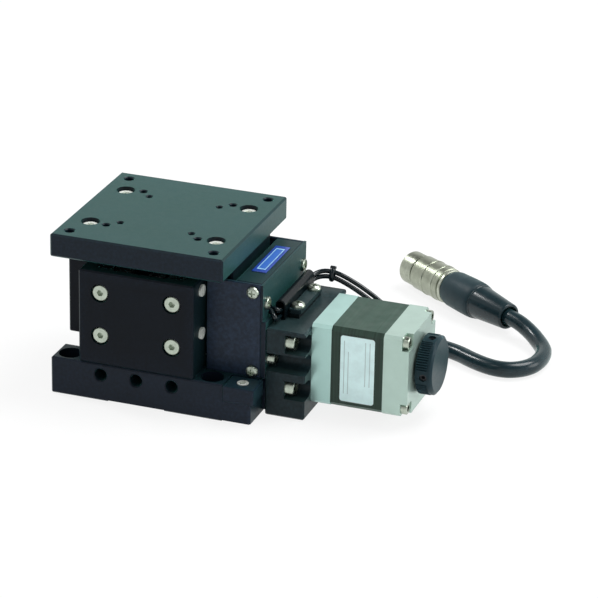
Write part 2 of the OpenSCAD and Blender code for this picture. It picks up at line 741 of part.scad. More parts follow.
module end_block() color("#1f232a") difference() {
    block([block_x, -end_block_y, base_t], [end_x, end_block_y, block_top], 0.3);
    translate([0, 0, axis_z]) along_x() {
        translate([0, 0, block_x - 1]) cylinder(d = bearing_d + 2 * fit_gap, h = bearing_w + 1);
        translate([0, 0, end_x - bearing_w]) cylinder(d = bearing_d + 2 * fit_gap, h = bearing_w + 1);
        cylinder(d = bearing_d - 2, h = 2 * end_x);
    }
    wire_hole();
    at_base_screws() screw_hole(M3, base_t + 5);
    at_pan_screws() screw_hole(PAN, 8);
    at_end_cover_screws() screw_hole(M25_low, 8);
    at_cap_screws() screw_hole(M25, 8);
    at_bracket_screws() screw_hole(M3, bracket_screw_l + 2);
}

module wire_hole() translate([0, wire_hole_y, wire_hole_z]) along_x() cylinder(d = wire_hole_d, h = 2 * end_x);

module ball_bearings() color("#c2c5c8") translate([0, 0, axis_z]) along_x() {
    for (x = [block_x, end_x - bearing_w]) translate([0, 0, x])
        ring_bearing(bearing_d, journal_d, bearing_w);
    for (x = [stator_x - motor_bearing_w - 0.6, rear_x + 0.6]) translate([0, 0, x])
        ring_bearing(motor_bearing_d, shaft_d, motor_bearing_w);
}

// Bearing as its two rings with the shielded race between them
module ring_bearing(od, id, w) difference() {
    cylinder(d = od, h = w);
    translate([0, 0, -1]) cylinder(d = id + 2 * fit_gap, h = w + 2);
    for (z = [-eps, w - 0.2]) translate([0, 0, z]) difference() {
        cylinder(d = od - 1.6, h = 0.2 + eps);
        cylinder(d = id + 1.4, h = 1);
    }
}

// ---------------------------------------------------------------- covers

module side_cover() color("#1f232a") difference() {
    block([end_x - cover_l, -cover_y, base_t], [end_x, -end_block_y, block_top], 0.25);
    at_pan_screws() screw_hole(PAN, 8);
}
module front_cover() side_cover();
module rear_cover() mirror([0, 1, 0]) side_cover();

module pan_screws() color("silver") {
    at_pan_screws() pan_screw(PAN, cover_t + 3);
    at_clamp_screws() pan_screw(PAN_wide, clamp_t + foot_t + 1.5);
}

module end_cover() color("#262b31") difference() {
    bar([end_x, -cover_y, cap_top], [end_x + end_cover_t, cover_y, block_top]);
    at_end_cover_screws() screw_hole(M25_low, 3);
    wire_hole();
}

module end_cover_screws() color("silver")
    at_end_cover_screws() cap_screw(M25_low, 6);

module bearing_cap() color("#20242a") difference() {
    block([end_x, -cover_y, base_t], [cap_x, cover_y, cap_top], 0.25);
    translate([0, 0, axis_z]) along_x() cylinder(d = journal_d + 3, h = 2 * end_x);
    at_cap_screws() screw_hole(M25, 8);
    at_bracket_screws() screw_hole(M3, bracket_screw_l + 2);
}

module bearing_cap_screws() color("silver") at_cap_screws() cap_screw(M25, 7);

module name_plate() color("#2f6fd0")
    block([end_x - 2 - plate_w, -plate_l/2 + 1, block_top], [end_x - 2, plate_l/2 + 1, block_top + 0.3], 0.1);

// ---------------------------------------------------------------- motor bracket

module motor_bracket() color("#23272c") difference() {
    block([cap_x, -bracket_w/2, bracket_z], [motor_x, bracket_w/2, bracket_h], 0.6);
    // coupling bore and pilot
    translate([0, 0, axis_z]) along_x() {
        cylinder(d = coupling_d + 3, h = motor_x + 1);
        translate([0, 0, motor_x - 2.2]) cylinder(d = pilot_d + 0.2, h = 5);
    }
    // screw pockets and the middle groove, open to the side and to the motor
    mirror_copy([0, 1, 0]) {
        for (z = [-1, 1]) side_pocket(pocket_x, axis_z + z * pocket_dz);
        side_pocket(cap_x - 1, cap_screw_z);
    }
    at_bracket_screws() screw_hole(M3, bracket_screw_l + 2);
    // motor screws, reached from the face that meets the bearing cap
    at_motor_mount() screw_hole(motor_mount, 8);
    at_motor_mount() cylinder(d = motor_mount[1] + 0.2, h = bracket_t);
    at_clamp_screws() screw_hole(PAN_wide, 8);
}

module side_pocket(x, z) {
    translate([x, -slot_y, z]) along_x() cylinder(r = pocket_r, h = bracket_t + 2);
    bar([x, -bracket_w, z - pocket_r], [x + bracket_t + 2, -slot_y, z + pocket_r]);
}

module bracket_screws() color("silver") at_bracket_screws() cap_screw(M3, bracket_screw_l);

module motor_mount_screws() color("silver")
    at_motor_mount() cap_screw(motor_mount, flange_t + 3.5);

module wire_profile(w, h) translate([0, h - w/2]) {
    circle(d = w);
    translate([-w/2, -h + w/2]) square([w, h - w/2]);
}

module wire_cover() color("#1a1d20") difference() {
    union() {
        translate([wire_x, wire_y0 + wire_cover_l, bracket_h]) rotate([90, 0, 0])
            linear_extrude(wire_cover_l) difference() {
                wire_profile(wire_cover_w, wire_cover_h);
                translate([0, wire_wall]) wire_profile(wire_cover_w - 2 * wire_wall, wire_cover_h - 2 * wire_wall);
            }
        bar([wire_x + wire_cover_w/2 - 0.1, clamp_y - clamp_l/2, bracket_h],
            [clamp_x0 + clamp_w - 0.5, clamp_y + clamp_l/2, bracket_h + foot_t]);
    }
    at_clamp_screws() screw_hole(PAN_wide, 8);
}

module clamp_plate() color("#2b3035") difference() {
    translate([0, 0, bracket_h + foot_t]) linear_extrude(clamp_t)
        translate([clamp_x0 + clamp_w/2, clamp_y]) cut_square(clamp_w, clamp_l, 0.6);
    at_clamp_screws() screw_hole(PAN_wide, 8);
}

// ---------------------------------------------------------------- coupling and motor

hub_x0 = cap_x + 0.8;
disc_l = motor_x - 2.4 - hub_x0 - 2 * hub_l;
tongue = 1;
tongue_w = 4;

module coupling_hubs() color("#b9bdc1") {
    coupling_hub(hub_x0, journal_d, 1);
    coupling_hub(hub_x0 + hub_l + disc_l, shaft_d, -1);
}

module coupling_hub(x, bore, side) translate([x, 0, axis_z]) difference() {
    union() {
        along_x() cylinder(d = coupling_d, h = hub_l);
        intersection() {
            along_x() translate([0, 0, side > 0 ? 0 : -tongue]) cylinder(d = coupling_d, h = hub_l + tongue);
            rotate([side > 0 ? 0 : 90, 0, 0]) translate([side > 0 ? 0 : -tongue, -coupling_d, -tongue_w / 2])
                cube([hub_l + tongue, coupling_d * 2, tongue_w]);
        }
    }
    along_x() translate([0, 0, -5]) cylinder(d = bore + 2 * fit_gap, h = 30);
    // clamp slit
    translate([side > 0 ? -1 : 0.5, -0.4, 0]) cube([hub_l + 0.5, 0.8, coupling_d]);
}

module coupling_disc() color("#6a4a2a") translate([hub_x0 + hub_l, 0, axis_z]) difference() {
    along_x() cylinder(d = coupling_d - 1, h = disc_l);
    along_x() translate([0, 0, -1]) cylinder(d = shaft_d + 1, h = 10);
    translate([-1, -coupling_d, -tongue_w / 2 - fit_gap])
        cube([1 + tongue + fit_gap, coupling_d * 2, tongue_w + 2 * fit_gap]);
    rotate([90, 0, 0]) translate([disc_l - tongue - fit_gap, -coupling_d, -tongue_w / 2 - fit_gap])
        cube([disc_l, coupling_d * 2, tongue_w + 2 * fit_gap]);
}

module motor_body(x, l, bevel = motor_bevel) translate([x, 0, axis_z])
    rotate([90, 0, 90]) linear_extrude(l) cut_square(motor_w, motor_w, bevel);

module motor_front_flange() color("#b9c6c4") difference() {
    union() {
        motor_body(motor_x, motor_front_l);
        translate([motor_x - 2, 0, axis_z]) along_x() cylinder(d = pilot_d, h = 3);
    }
    translate([0, 0, axis_z]) along_x() {
        cylinder(d = shaft_d + 1.4, h = 2 * motor_end);
        translate([0, 0, stator_x - motor_bearing_w - 0.6])
            cylinder(d = motor_bearing_d + 2 * fit_gap, h = 2 * motor_bearing_w);
    }
    at_motor_mount() screw_hole(motor_mount, 8);
}

rotor_d = 15;
module motor_stator() color("#3a4238") difference() {
    motor_body(stator_x, motor_stator_l, motor_bevel + 0.4);
    translate([0, 0, axis_z]) along_x() cylinder(d = rotor_d + 2 * run_gap, h = 2 * motor_end);
}

module motor_rear_bracket() color("#b9c6c4") difference() {
    motor_body(rear_x, motor_rear_l);
    for (y = [-1, 1], z = [-1, 1]) translate([motor_end - 2.4, 0, axis_z]) rotate([90, 0, 90])
        mirror([y > 0 ? 0 : 1, 0]) mirror([0, z > 0 ? 0 : 1]) linear_extrude(5) {
            translate([motor_screw_y - 1.1, motor_screw_y - 2.1]) square(10);
            translate([motor_screw_y - 2.1, motor_screw_y - 1.1]) square(10);
            translate([motor_screw_y - 1.1, motor_screw_y - 1.1]) circle(r = 1);
        }
    translate([0, 0, axis_z]) along_x() {
        cylinder(d = shaft_d + 1.4, h = 2 * motor_end);
        translate([0, 0, rear_x - 1])
            cylinder(d = motor_bearing_d + 2 * fit_gap, h = 1 + motor_bearing_w + 0.6);
    }
    at_motor_screws() screw_hole(M25, 12);
}

module motor_screws() color("silver") at_motor_screws() cap_screw([2.5, 4.2, 2, 2], 5);

module motor_shaft() color("#c2c5c8") translate([0, 0, axis_z]) along_x() {
    translate([0, 0, hub_x0 + hub_l + disc_l - 0.4]) cylinder(d = shaft_d, h = motor_end - hub_x0 - hub_l - disc_l);
    translate([0, 0, stator_x + 0.8]) cylinder(d = rotor_d, h = motor_stator_l - 1.6);
    translate([0, 0, motor_end - 1]) cylinder(d = shaft_d - 1, h = knob_gap + knob_l);
}

// Outline of the knurled band, one notch per groove
function knurl_points(r) = [for (i = [0 : knurl_n * 2 - 1])
    let (rr = i % 2 == 0 ? r : r - 0.35) rr * [cos(i * 180 / knurl_n), sin(i * 180 / knurl_n)]];

module hand_knob() color("#2c3a44") difference() {
    translate([knob_x, 0, axis_z]) along_x() {
        translate([0, 0, -knob_gap + 0.6]) cylinder(d = knob_d * 0.5, h = knob_gap);
        cylinder(d1 = knob_d - 1.4, d2 = knob_d - 0.4, h = 0.5);
        translate([0, 0, 0.5 - eps]) linear_extrude(knob_l * 0.6) polygon(knurl_points(knob_d/2));
        translate([0, 0, knob_l * 0.6]) cylinder(d = knob_d - 0.8, h = knob_l * 0.2);
        translate([0, 0, knob_l * 0.8]) cylinder(d1 = knob_d - 0.8, d2 = knob_d - 2, h = knob_l * 0.2);
    }
    translate([motor_end - 5, 0, axis_z]) along_x() cylinder(d = shaft_d - 1 + 2 * fit_gap, h = knob_gap + knob_l + 4.2);
    at_set_screws() translate([0, 0, -knob_d/2 + 2]) cylinder(d = 2.5 + 2 * fit_gap, h = knob_d);
}

module knob_set_screws() color("#5a5f63") at_set_screws() difference() {
    translate([0, 0, -6.8]) cylinder(d = 2.5, h = 6.6);
    translate([0, 0, -1.2]) cylinder(d = 1.4, h = 2, $fn = 6);
}

// ---------------------------------------------------------------- wires, cable and connector

wire_d = 1.5;
// Route of the wires: out of the end block, through the wire cover and
// down behind the motor into the cable's sleeve. The lower wire first.
wire_z = bracket_h + 1.6;
wire_route = [
    [end_x - 3.6, wire_hole_y - 0.8, wire_hole_z], [cap_x - 0.8, wire_hole_y - 0.8, wire_hole_z],
    [cap_x + 0.7, -15.9, wire_hole_z - 0.5], [cap_x + 1.6, -16.6, (wire_hole_z + wire_z) / 2],
    [wire_x + 0.1, -15.8, wire_z + 0.1], [wire_x, -13.4, wire_z - 0.2],
    [wire_x, -9, wire_z], [wire_x, 0, wire_z], [wire_x, 9, wire_z],
    [wire_x + 0.1, 15.5, wire_z + 0.4], [wire_x + 1, 18.6, wire_z + 1], [wire_x + 3, 20.2, wire_z + 1.5],
    [49, 20.6, wire_z + 1.7], [52, 20.6, wire_z + 1.1], [56, 20.4, wire_z - 0.4],
    [60, 20.1, 30.2], [64.5, 19.8, 27.6], [69, 19.3, 24.2], [74, 18.6, 19.8],
    [78.8, 18, 15], [82, 17.8, 11.2], [82.6, 17.6, 8.6], [81, 17.6, 7],
    [78, 17.6, 6.5], [74, 17.6, 6.5]
];
wire_route_2 = [
    [end_x - 3.6, wire_hole_y + 0.8, wire_hole_z], [cap_x - 0.8, wire_hole_y + 0.8, wire_hole_z],
    [cap_x + 0.6, -13.5, wire_hole_z + 0.4], [cap_x + 1.5, -13.9, wire_hole_z + 0.3],
    [wire_x, -12.6, wire_z + 2], [wire_x, -10.6, wire_z + 1.7],
    [wire_x, -6, wire_z + 1.7], [wire_x, 0, wire_z + 1.7], [wire_x, 9, wire_z + 1.7],
    [wire_x + 0.2, 15.9, wire_z + 2.1], [wire_x + 1.1, 19, wire_z + 2.7], [wire_x + 3.1, 20.9, wire_z + 3.2],
    [49.1, 21.3, wire_z + 3.3], [52.4, 21.3, wire_z + 2.7], [56.7, 21.1, wire_z + 1.1],
    [60.9, 20.9, 31.6], [65.5, 20.7, 28.9], [70.3, 20.4, 25.4], [75.6, 20, 20.8],
    [80.6, 19.6, 15.8], [84, 19.4, 11.2], [84.2, 19.2, 8], [82, 19.2, 6.5],
    [78, 19.2, 6.5], [74, 19.2, 6.5]
];
plug_at = [96.8, 72, 6.7];
plug_turn = 146.3;
function plug_point(x) = plug_at + x * [cos(plug_turn), sin(plug_turn), 0];
// Route of the cable: out of the sleeve, round behind the motor on the
// table and back beside the knob to the connector
cable_route = [
    [68, 17.7, 6.5], [64.3, 18.2, 6.1], [60.9, 19.6, 5.2], [57.9, 21.9, 4.1], [55.6, 24.9, 3.2],
    [54.2, 28.3, 2.9], [53.7, 32, 2.9], [54.2, 35.7, 2.9], [55.6, 39.2, 2.9], [57.9, 42.1, 2.9],
    [60.9, 44.4, 2.9], [64.3, 46, 2.9], [68.4, 47, 2.9], [73, 47.4, 2.9], [78, 47, 2.9],
    [83.4, 45.8, 2.9], [88.2, 43.8, 2.9], [93, 41, 2.9], [98, 38.6, 2.9], [102.6, 37.4, 2.9],
    [107, 37.8, 2.9], [110.8, 40.2, 2.9], [113.4, 44, 2.9], [114.6, 48.6, 2.9], [114.6, 53.4, 2.9],
    [113.2, 58, 3.1], [109.8, 62.8, 3.8], [105.8, 66.6, 5], [101.4, 69.5, 6.2],
    plug_at, plug_point(4), plug_point(9)
];

module at_plug(x) translate(plug_at) rotate([0, 0, plug_turn]) translate([x, 0, 0]) along_x() children();

module sensor_wires() color("#101214") {
    tube(wire_route, wire_d, 8, [0.3, 0.2, 1]);
    tube(wire_route_2, wire_d, 8, [0.3, 0.2, 1]);
}

// Tie round the two wires behind the motor bracket
module cable_tie() color("#0d0f11") translate([49.4, 20.95, wire_z + 2.45]) rotate([-24, 0, 0]) rotate([90, 0, 90]) {
    linear_extrude(1.8, center = true) difference() {
        tie_profile(wire_d + 1.3);
        tie_profile(wire_d + 0.5);
    }
    translate([0, wire_d + 1.4, 0]) cube([1.9, 1, 2.2], center = true);
}
module tie_profile(w) {
    for (z = [-0.85, 0.85]) translate([0, z]) circle(d = w);
    square([w, 1.7], center = true);
}

module cable() color("#121416") {
    tube(cable_route, cable_d, 12);
    cable_sleeve();
}

// Shrink sleeve where the wires enter the cable, against the back of the motor
module cable_sleeve() translate(cable_route[0]) along_x() difference() {
    cylinder(d = cable_d + 1.2, h = 12);
    translate([0, 0.7, 4]) cylinder(d = 4.4, h = 20);
}

// Tapered boot, its mouth open round the cable
module cable_boot() color("#16191b") at_plug(0) rotate_extrude() polygon([
    [cable_d/2 + 0.6, 0], [cable_d/2 + 1.2, 0], [cable_d/2 + 1.4, 0.2], [plug_d/2 - 0.4, boot_l - 0.6],
    [plug_d/2 - 0.4, boot_l], [cable_d/2 + 2 * fit_gap, boot_l], [cable_d/2 + 2 * fit_gap, 4],
    [cable_d/2 + 0.6, 3.4]
]);

module connector_barrel() color("#131618") at_plug(boot_l) rotate_extrude() polygon([
    [0, 0], [barrel_d/2 - 0.3, 0], [barrel_d/2, 0.3], [barrel_d/2, barrel_l * 0.4],
    [barrel_d/2 - 0.2, barrel_l - 2.4], [barrel_d/2 - 0.5, barrel_l - 1], [barrel_d/2 - 1, barrel_l], [0, barrel_l]
]);

// Flange, coupling sleeve with two raised rings, groove and nose
module connector_shell() color("#b9b4a4") at_plug(boot_l + barrel_l) difference() {
    r = sleeve_d / 2;
    nose = plug_l - 6.2;
    rotate_extrude() polygon([
        [0, 0], [r - 0.7, 0], [r - 0.4, 0.3], [r - 0.4, 1.1], [r - 0.8, 1.2], [r - 0.8, 1.6],
        [r - 0.2, 1.8], [r - 0.2, 4.2], [r, 4.4], [r, 5.2], [r - 0.2, 5.4],
        [r - 0.2, 9.6], [r, 9.8], [r, 10.4], [r - 0.2, 10.6], [r - 0.2, nose - 0.9],
        [r - 0.4, nose - 0.6], [plug_d/2 - 0.5, nose - 0.6], [plug_d/2 - 0.5, nose], [plug_d/2 - 0.1, nose],
        [plug_d/2, nose + 0.2], [plug_d/2, plug_l - 0.5], [plug_d/2 - 0.5, plug_l], [0, plug_l]
    ]);
    translate([0, 0, plug_l - 6]) cylinder(d = plug_d - 2.4, h = 10);
}

// ---------------------------------------------------------------- build

base_plate();
base_screws();
corner_block();
corner_block_screw();
front_guide_block();
rear_guide_block();
rail_screws();
fixed_rails();
preload_screws();
roller_cages();
guide_rollers();
moving_rails();
moving_rail_screws();
carriage();
table_plate();
table_screws();
follower_pin();
follower_spacers();
follower_roller();
upper_spring_pin();
lower_spring_pin();
return_springs();
slide_rail();
slide_rail_screws();
slide_block();
wedge_block();
ramp_strip();
drive_nut();
lead_screw();
ball_bearings();
end_block();
limit_sensor();
front_cover();
rear_cover();
pan_screws();
end_cover();
end_cover_screws();
bearing_cap();
bearing_cap_screws();
name_plate();
motor_bracket();
bracket_screws();
wire_cover();
clamp_plate();
coupling_hubs();
coupling_disc();
motor_mount_screws();
motor_front_flange();
motor_stator();
motor_rear_bracket();
motor_screws();
motor_shaft();
hand_knob();
knob_set_screws();
sensor_wires();
cable_tie();
cable();
cable_boot();
connector_barrel();
connector_shell();
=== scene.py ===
import math

import bpy
from mathutils import Matrix, Vector


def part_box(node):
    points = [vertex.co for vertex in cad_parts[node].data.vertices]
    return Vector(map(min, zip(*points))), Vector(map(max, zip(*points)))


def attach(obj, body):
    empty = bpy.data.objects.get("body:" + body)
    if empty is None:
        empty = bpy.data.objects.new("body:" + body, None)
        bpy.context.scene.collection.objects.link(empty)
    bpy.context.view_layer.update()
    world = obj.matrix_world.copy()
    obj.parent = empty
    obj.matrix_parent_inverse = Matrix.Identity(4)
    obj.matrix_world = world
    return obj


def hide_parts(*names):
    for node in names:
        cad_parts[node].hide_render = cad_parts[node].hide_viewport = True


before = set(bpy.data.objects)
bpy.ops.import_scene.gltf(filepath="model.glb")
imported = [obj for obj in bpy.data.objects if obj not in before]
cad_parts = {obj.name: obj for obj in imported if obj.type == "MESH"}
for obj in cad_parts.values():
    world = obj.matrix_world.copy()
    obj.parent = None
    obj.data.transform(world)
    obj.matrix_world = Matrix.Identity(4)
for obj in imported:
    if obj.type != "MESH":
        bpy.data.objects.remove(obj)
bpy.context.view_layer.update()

bl_info = {
    "name": "Vertical Stage Dressing",
    "version": (1, 0, 0),
    "blender": (4, 5, 0),
    "location": "3D View > Sidebar > Stage",
    "description": "Finishes, cable, connector, knob and small fittings for a motorised vertical stage",
    "category": "Object",
}

MM = 0.001

# Camera: turn, height angle and roll in degrees, point it looks at in millimetres, distance in metres
CAMERA_AZIMUTH = 19.405
CAMERA_ELEVATION = 23.376
CAMERA_ROLL = 1.13
CAMERA_TARGET = (42.5, 8.268, 30.007)
CAMERA_DISTANCE = 1.07053
SENSOR_WIDTH = 36
FOCAL_PIXELS = 3246.34
PICTURE_PIXELS = 598

# Soft lights: place, point aimed at and diameter in metres, the power setting followed and its multiple
LAMPS = {
    "key": ((0.35, 0.25, 0.75), (0.04, 0.0, 0.02), 0.5, "key_light", 6),
    "side": ((0.75, 0.2, 0.3), (0.05, 0, 0.02), 0.4, "key_light", 1.6),
    "front": ((-0.3, -0.48, 0.9), (0.04, 0, 0.02), 0.3, "fill_light", 1.6),
    "left": ((-0.6, 0.145, 0.787), (0.09, 0.06, 0.01), 0.2, "fill_light", 10),
    "back": ((-0.36, 1.02, 0.47), (0.04, 0, 0.04), 0.8, "back_light", 6),
}

# Light tent: sine of the height angle where it starts and ends to dim, and its strength there
TENT_FROM, TENT_TO = 0.42, 0.75
TENT_BRIGHT, TENT_DIM = 1.0, 0.12
TENT_AMBIENT = 0.55         # strength that lights matt surfaces
PAPER_GLOW = 0.84           # share of even white in the floor where it is looked at or mirrored

# Hand knob: heights and places along X in metres, the rest in millimetres and degrees
AXIS_Z = 18.3 * MM          # height of the screw and of the motor's axis
KNOB_X = 88.6 * MM
HOLE_X = 91.6 * MM          # set screws of the hand knob
KNURL_FROM, KNURL_TO = 0.6, 4.0
KNOB_RINGS = (0.35, KNURL_FROM, KNURL_TO, 4.3, 5.1)
RING_REACH = 0.1            # how far from a ring its points are looked for
KNOB_BACK, KNOB_FRONT = 0.94, 0.9       # radius of the two rims as a share of the body's
KNURL_CREST, KNURL_ROOT = 1.017, 0.965  # radius of crest and root as a share of the body's
SET_SCREW_ANGLES = (5, 95)
PLAIN_ANGLE = 14            # half width of the plain patch beside each set screw
# Drill of the set screw holes: radius, length, and distance of its middle from the axis
HOLE_RADIUS, HOLE_DEPTH, HOLE_CENTRE = 1.3, 6, 9

# Cable tie round the sensor wires: centre in millimetres, lean in degrees, then place and size of its head
TIE_AT = (49.6, 20.95, 34.95)
TIE_LEAN = -24
TIE_HEAD_OFFSET = -2.35
TIE_HEAD = (1.2, 1.7, 1.9)

# Motor label in millimetres: centre, size, corner radius and half the width of a ruled line
LABEL_AT = (70.7, -14.04, 18.4)
LABEL_SIZE = (11.6, 0.08, 23.2)
LABEL_CORNER = 0.9
RULE_HALF_WIDTH = 0.12

# Connector: mouth of its boot, and the direction in which it points
PLUG_AT = (96.8, 72, 6.7)
PLUG_TURN = 146.3
PLUG_FRAME = Matrix.Translation(Vector(PLUG_AT) * MM) @ Matrix.Rotation(math.radians(PLUG_TURN), 4, "Z")
CONTACTS = 6
CONTACT_CIRCLE = 2.6        # radius on which the contacts stand

# Route of the cable, from the sleeve behind the motor to the connector's boot
CABLE_ROUTE = [
    (68, 17.7, 6.5), (64.3, 18.2, 6.1), (60.9, 19.6, 5.2), (57.9, 21.9, 4.1), (55.6, 24.9, 3.2),
    (54.2, 28.3, 2.9), (53.7, 32, 2.9), (54.2, 35.7, 2.9), (55.6, 39.2, 2.9), (57.9, 42.1, 2.9),
    (60.9, 44.4, 2.9), (64.3, 46, 2.9), (68.4, 47, 2.9), (73, 47.4, 2.9), (78, 47, 2.9),
    (83.4, 45.8, 2.9), (88.2, 43.8, 2.9), (93, 41, 2.9), (98, 38.6, 2.9), (102.6, 37.4, 2.9),
    (107, 37.8, 2.9), (110.8, 40.2, 2.9), (113.4, 44, 2.9), (114.43, 48.6, 2.9), (114.43, 53.4, 2.9),
    (113.2, 58, 3.1), (109.8, 62.8, 3.8), (105.8, 66.6, 5), (101.4, 69.5, 6.2), (96.8, 72, 6.7),
    (93.472, 74.219, 6.7), (89.312, 76.994, 6.7),
]

# Routes of the two sensor wires, from the end block through the wire cover to the sleeve
WIRE_ROUTES = [
    [(36, -14.4, 34.8), (40.6, -14.4, 34.8), (42.1, -15.9, 34.3), (43, -16.6, 33.65),
     (43.3, -15.8, 32.6), (43.2, -13.4, 32.3), (43.2, -9, 32.5), (43.2, 0, 32.5), (43.2, 9, 32.5),
     (43.3, 15.5, 32.9), (44.2, 18.6, 33.5), (46.2, 20.2, 34), (49, 20.6, 34.2), (52, 20.6, 33.6),
     (56, 20.4, 32.1), (60, 20.1, 30.2), (64.5, 19.8, 27.6), (69, 19.3, 24.2), (74, 18.6, 19.8),
     (78.8, 18, 15), (82, 17.8, 11.2), (82.6, 17.6, 8.6), (81, 17.6, 7), (78, 17.6, 6.5),
     (74, 17.6, 6.5)],
    [(36, -12.8, 34.8), (40.6, -12.8, 34.8), (42, -13.5, 35.2), (42.9, -13.9, 35.1),
     (43.2, -12.6, 34.5), (43.2, -10.6, 34.2), (43.2, -6, 34.2), (43.2, 0, 34.2), (43.2, 9, 34.2),
     (43.4, 15.9, 34.6), (44.3, 19, 35.2), (46.3, 20.9, 35.7), (49.1, 21.3, 35.8), (52.4, 21.3, 35.2),
     (56.7, 21.1, 33.6), (60.9, 20.9, 31.6), (65.5, 20.7, 28.9), (70.3, 20.4, 25.4), (75.6, 20, 20.8),
     (80.6, 19.6, 15.8), (84, 19.4, 11.2), (84.2, 19.2, 8), (82, 19.2, 6.5), (78, 19.2, 6.5),
     (74, 19.2, 6.5)],
]

# Ruled lines of the motor's label: place along X, lowest and highest point
LABEL_RULES = [(66.2, 9.5, 28.2), (67.6, 9.5, 24.5), (73.4, 13, 28.6), (74.9, 13, 28.6)]

# The parts that each finish covers
NODE_FINISH = {
    "black_anodised": ("base_plate", "corner_block"),
    "block_anodised_painted_sheen": ("end_block",),
    "guide_anodised_painted_shade": ("front_guide_block", "rear_guide_block", "carriage"),
    "panel_anodised_painted_light": ("front_cover", "rear_cover"),
    "cover_anodised_painted_sheen": ("end_cover", "bearing_cap"),
    "bracket_anodised": ("motor_bracket", "clamp_plate"),
    "table_anodised": ("table_plate",),
    "ground_steel": (
        "fixed_rails", "moving_rails", "guide_rollers", "follower_pin", "follower_spacers",
        "follower_roller", "upper_spring_pin", "lower_spring_pin", "slide_rail", "slide_block",
        "ramp_strip", "ball_bearings"),
    "turned_steel": ("lead_screw", "motor_shaft"),
    "spring_wire": ("return_springs",),
    "nickel_screws": (
        "base_screws", "rail_screws", "moving_rail_screws",
        "slide_rail_screws", "pan_screws", "end_cover_screws", "bearing_cap_screws", "bracket_screws",
        "motor_mount_screws", "motor_screws"),
    "satin_screw": ("corner_block_screw", "table_screws", "preload_screws"),
    "black_steel": ("knob_set_screws",),
    "cast_flange": ("motor_front_flange",),
    "cast_bracket": ("motor_rear_bracket",),
    "milled_aluminium": ("wedge_block", "coupling_hubs"),
    "stator_paint": ("motor_stator",),
    "bronze": ("drive_nut", "roller_cages"),
    "phenolic": ("coupling_disc",),
    "black_plastic": ("limit_sensor", "cable_tie"),
    "shrink_tube": ("wire_cover",),
    "plate_blue": ("name_plate",),
    "knob_black": ("hand_knob",),
    "cable_jacket": ("cable",),
    "wire_jacket": ("sensor_wires",),
    "boot_rubber": ("cable_boot",),
    "barrel_plastic": ("connector_barrel",),
    "plug_nickel": ("connector_shell",),
}


# ------------------------------------------------------------------ materials

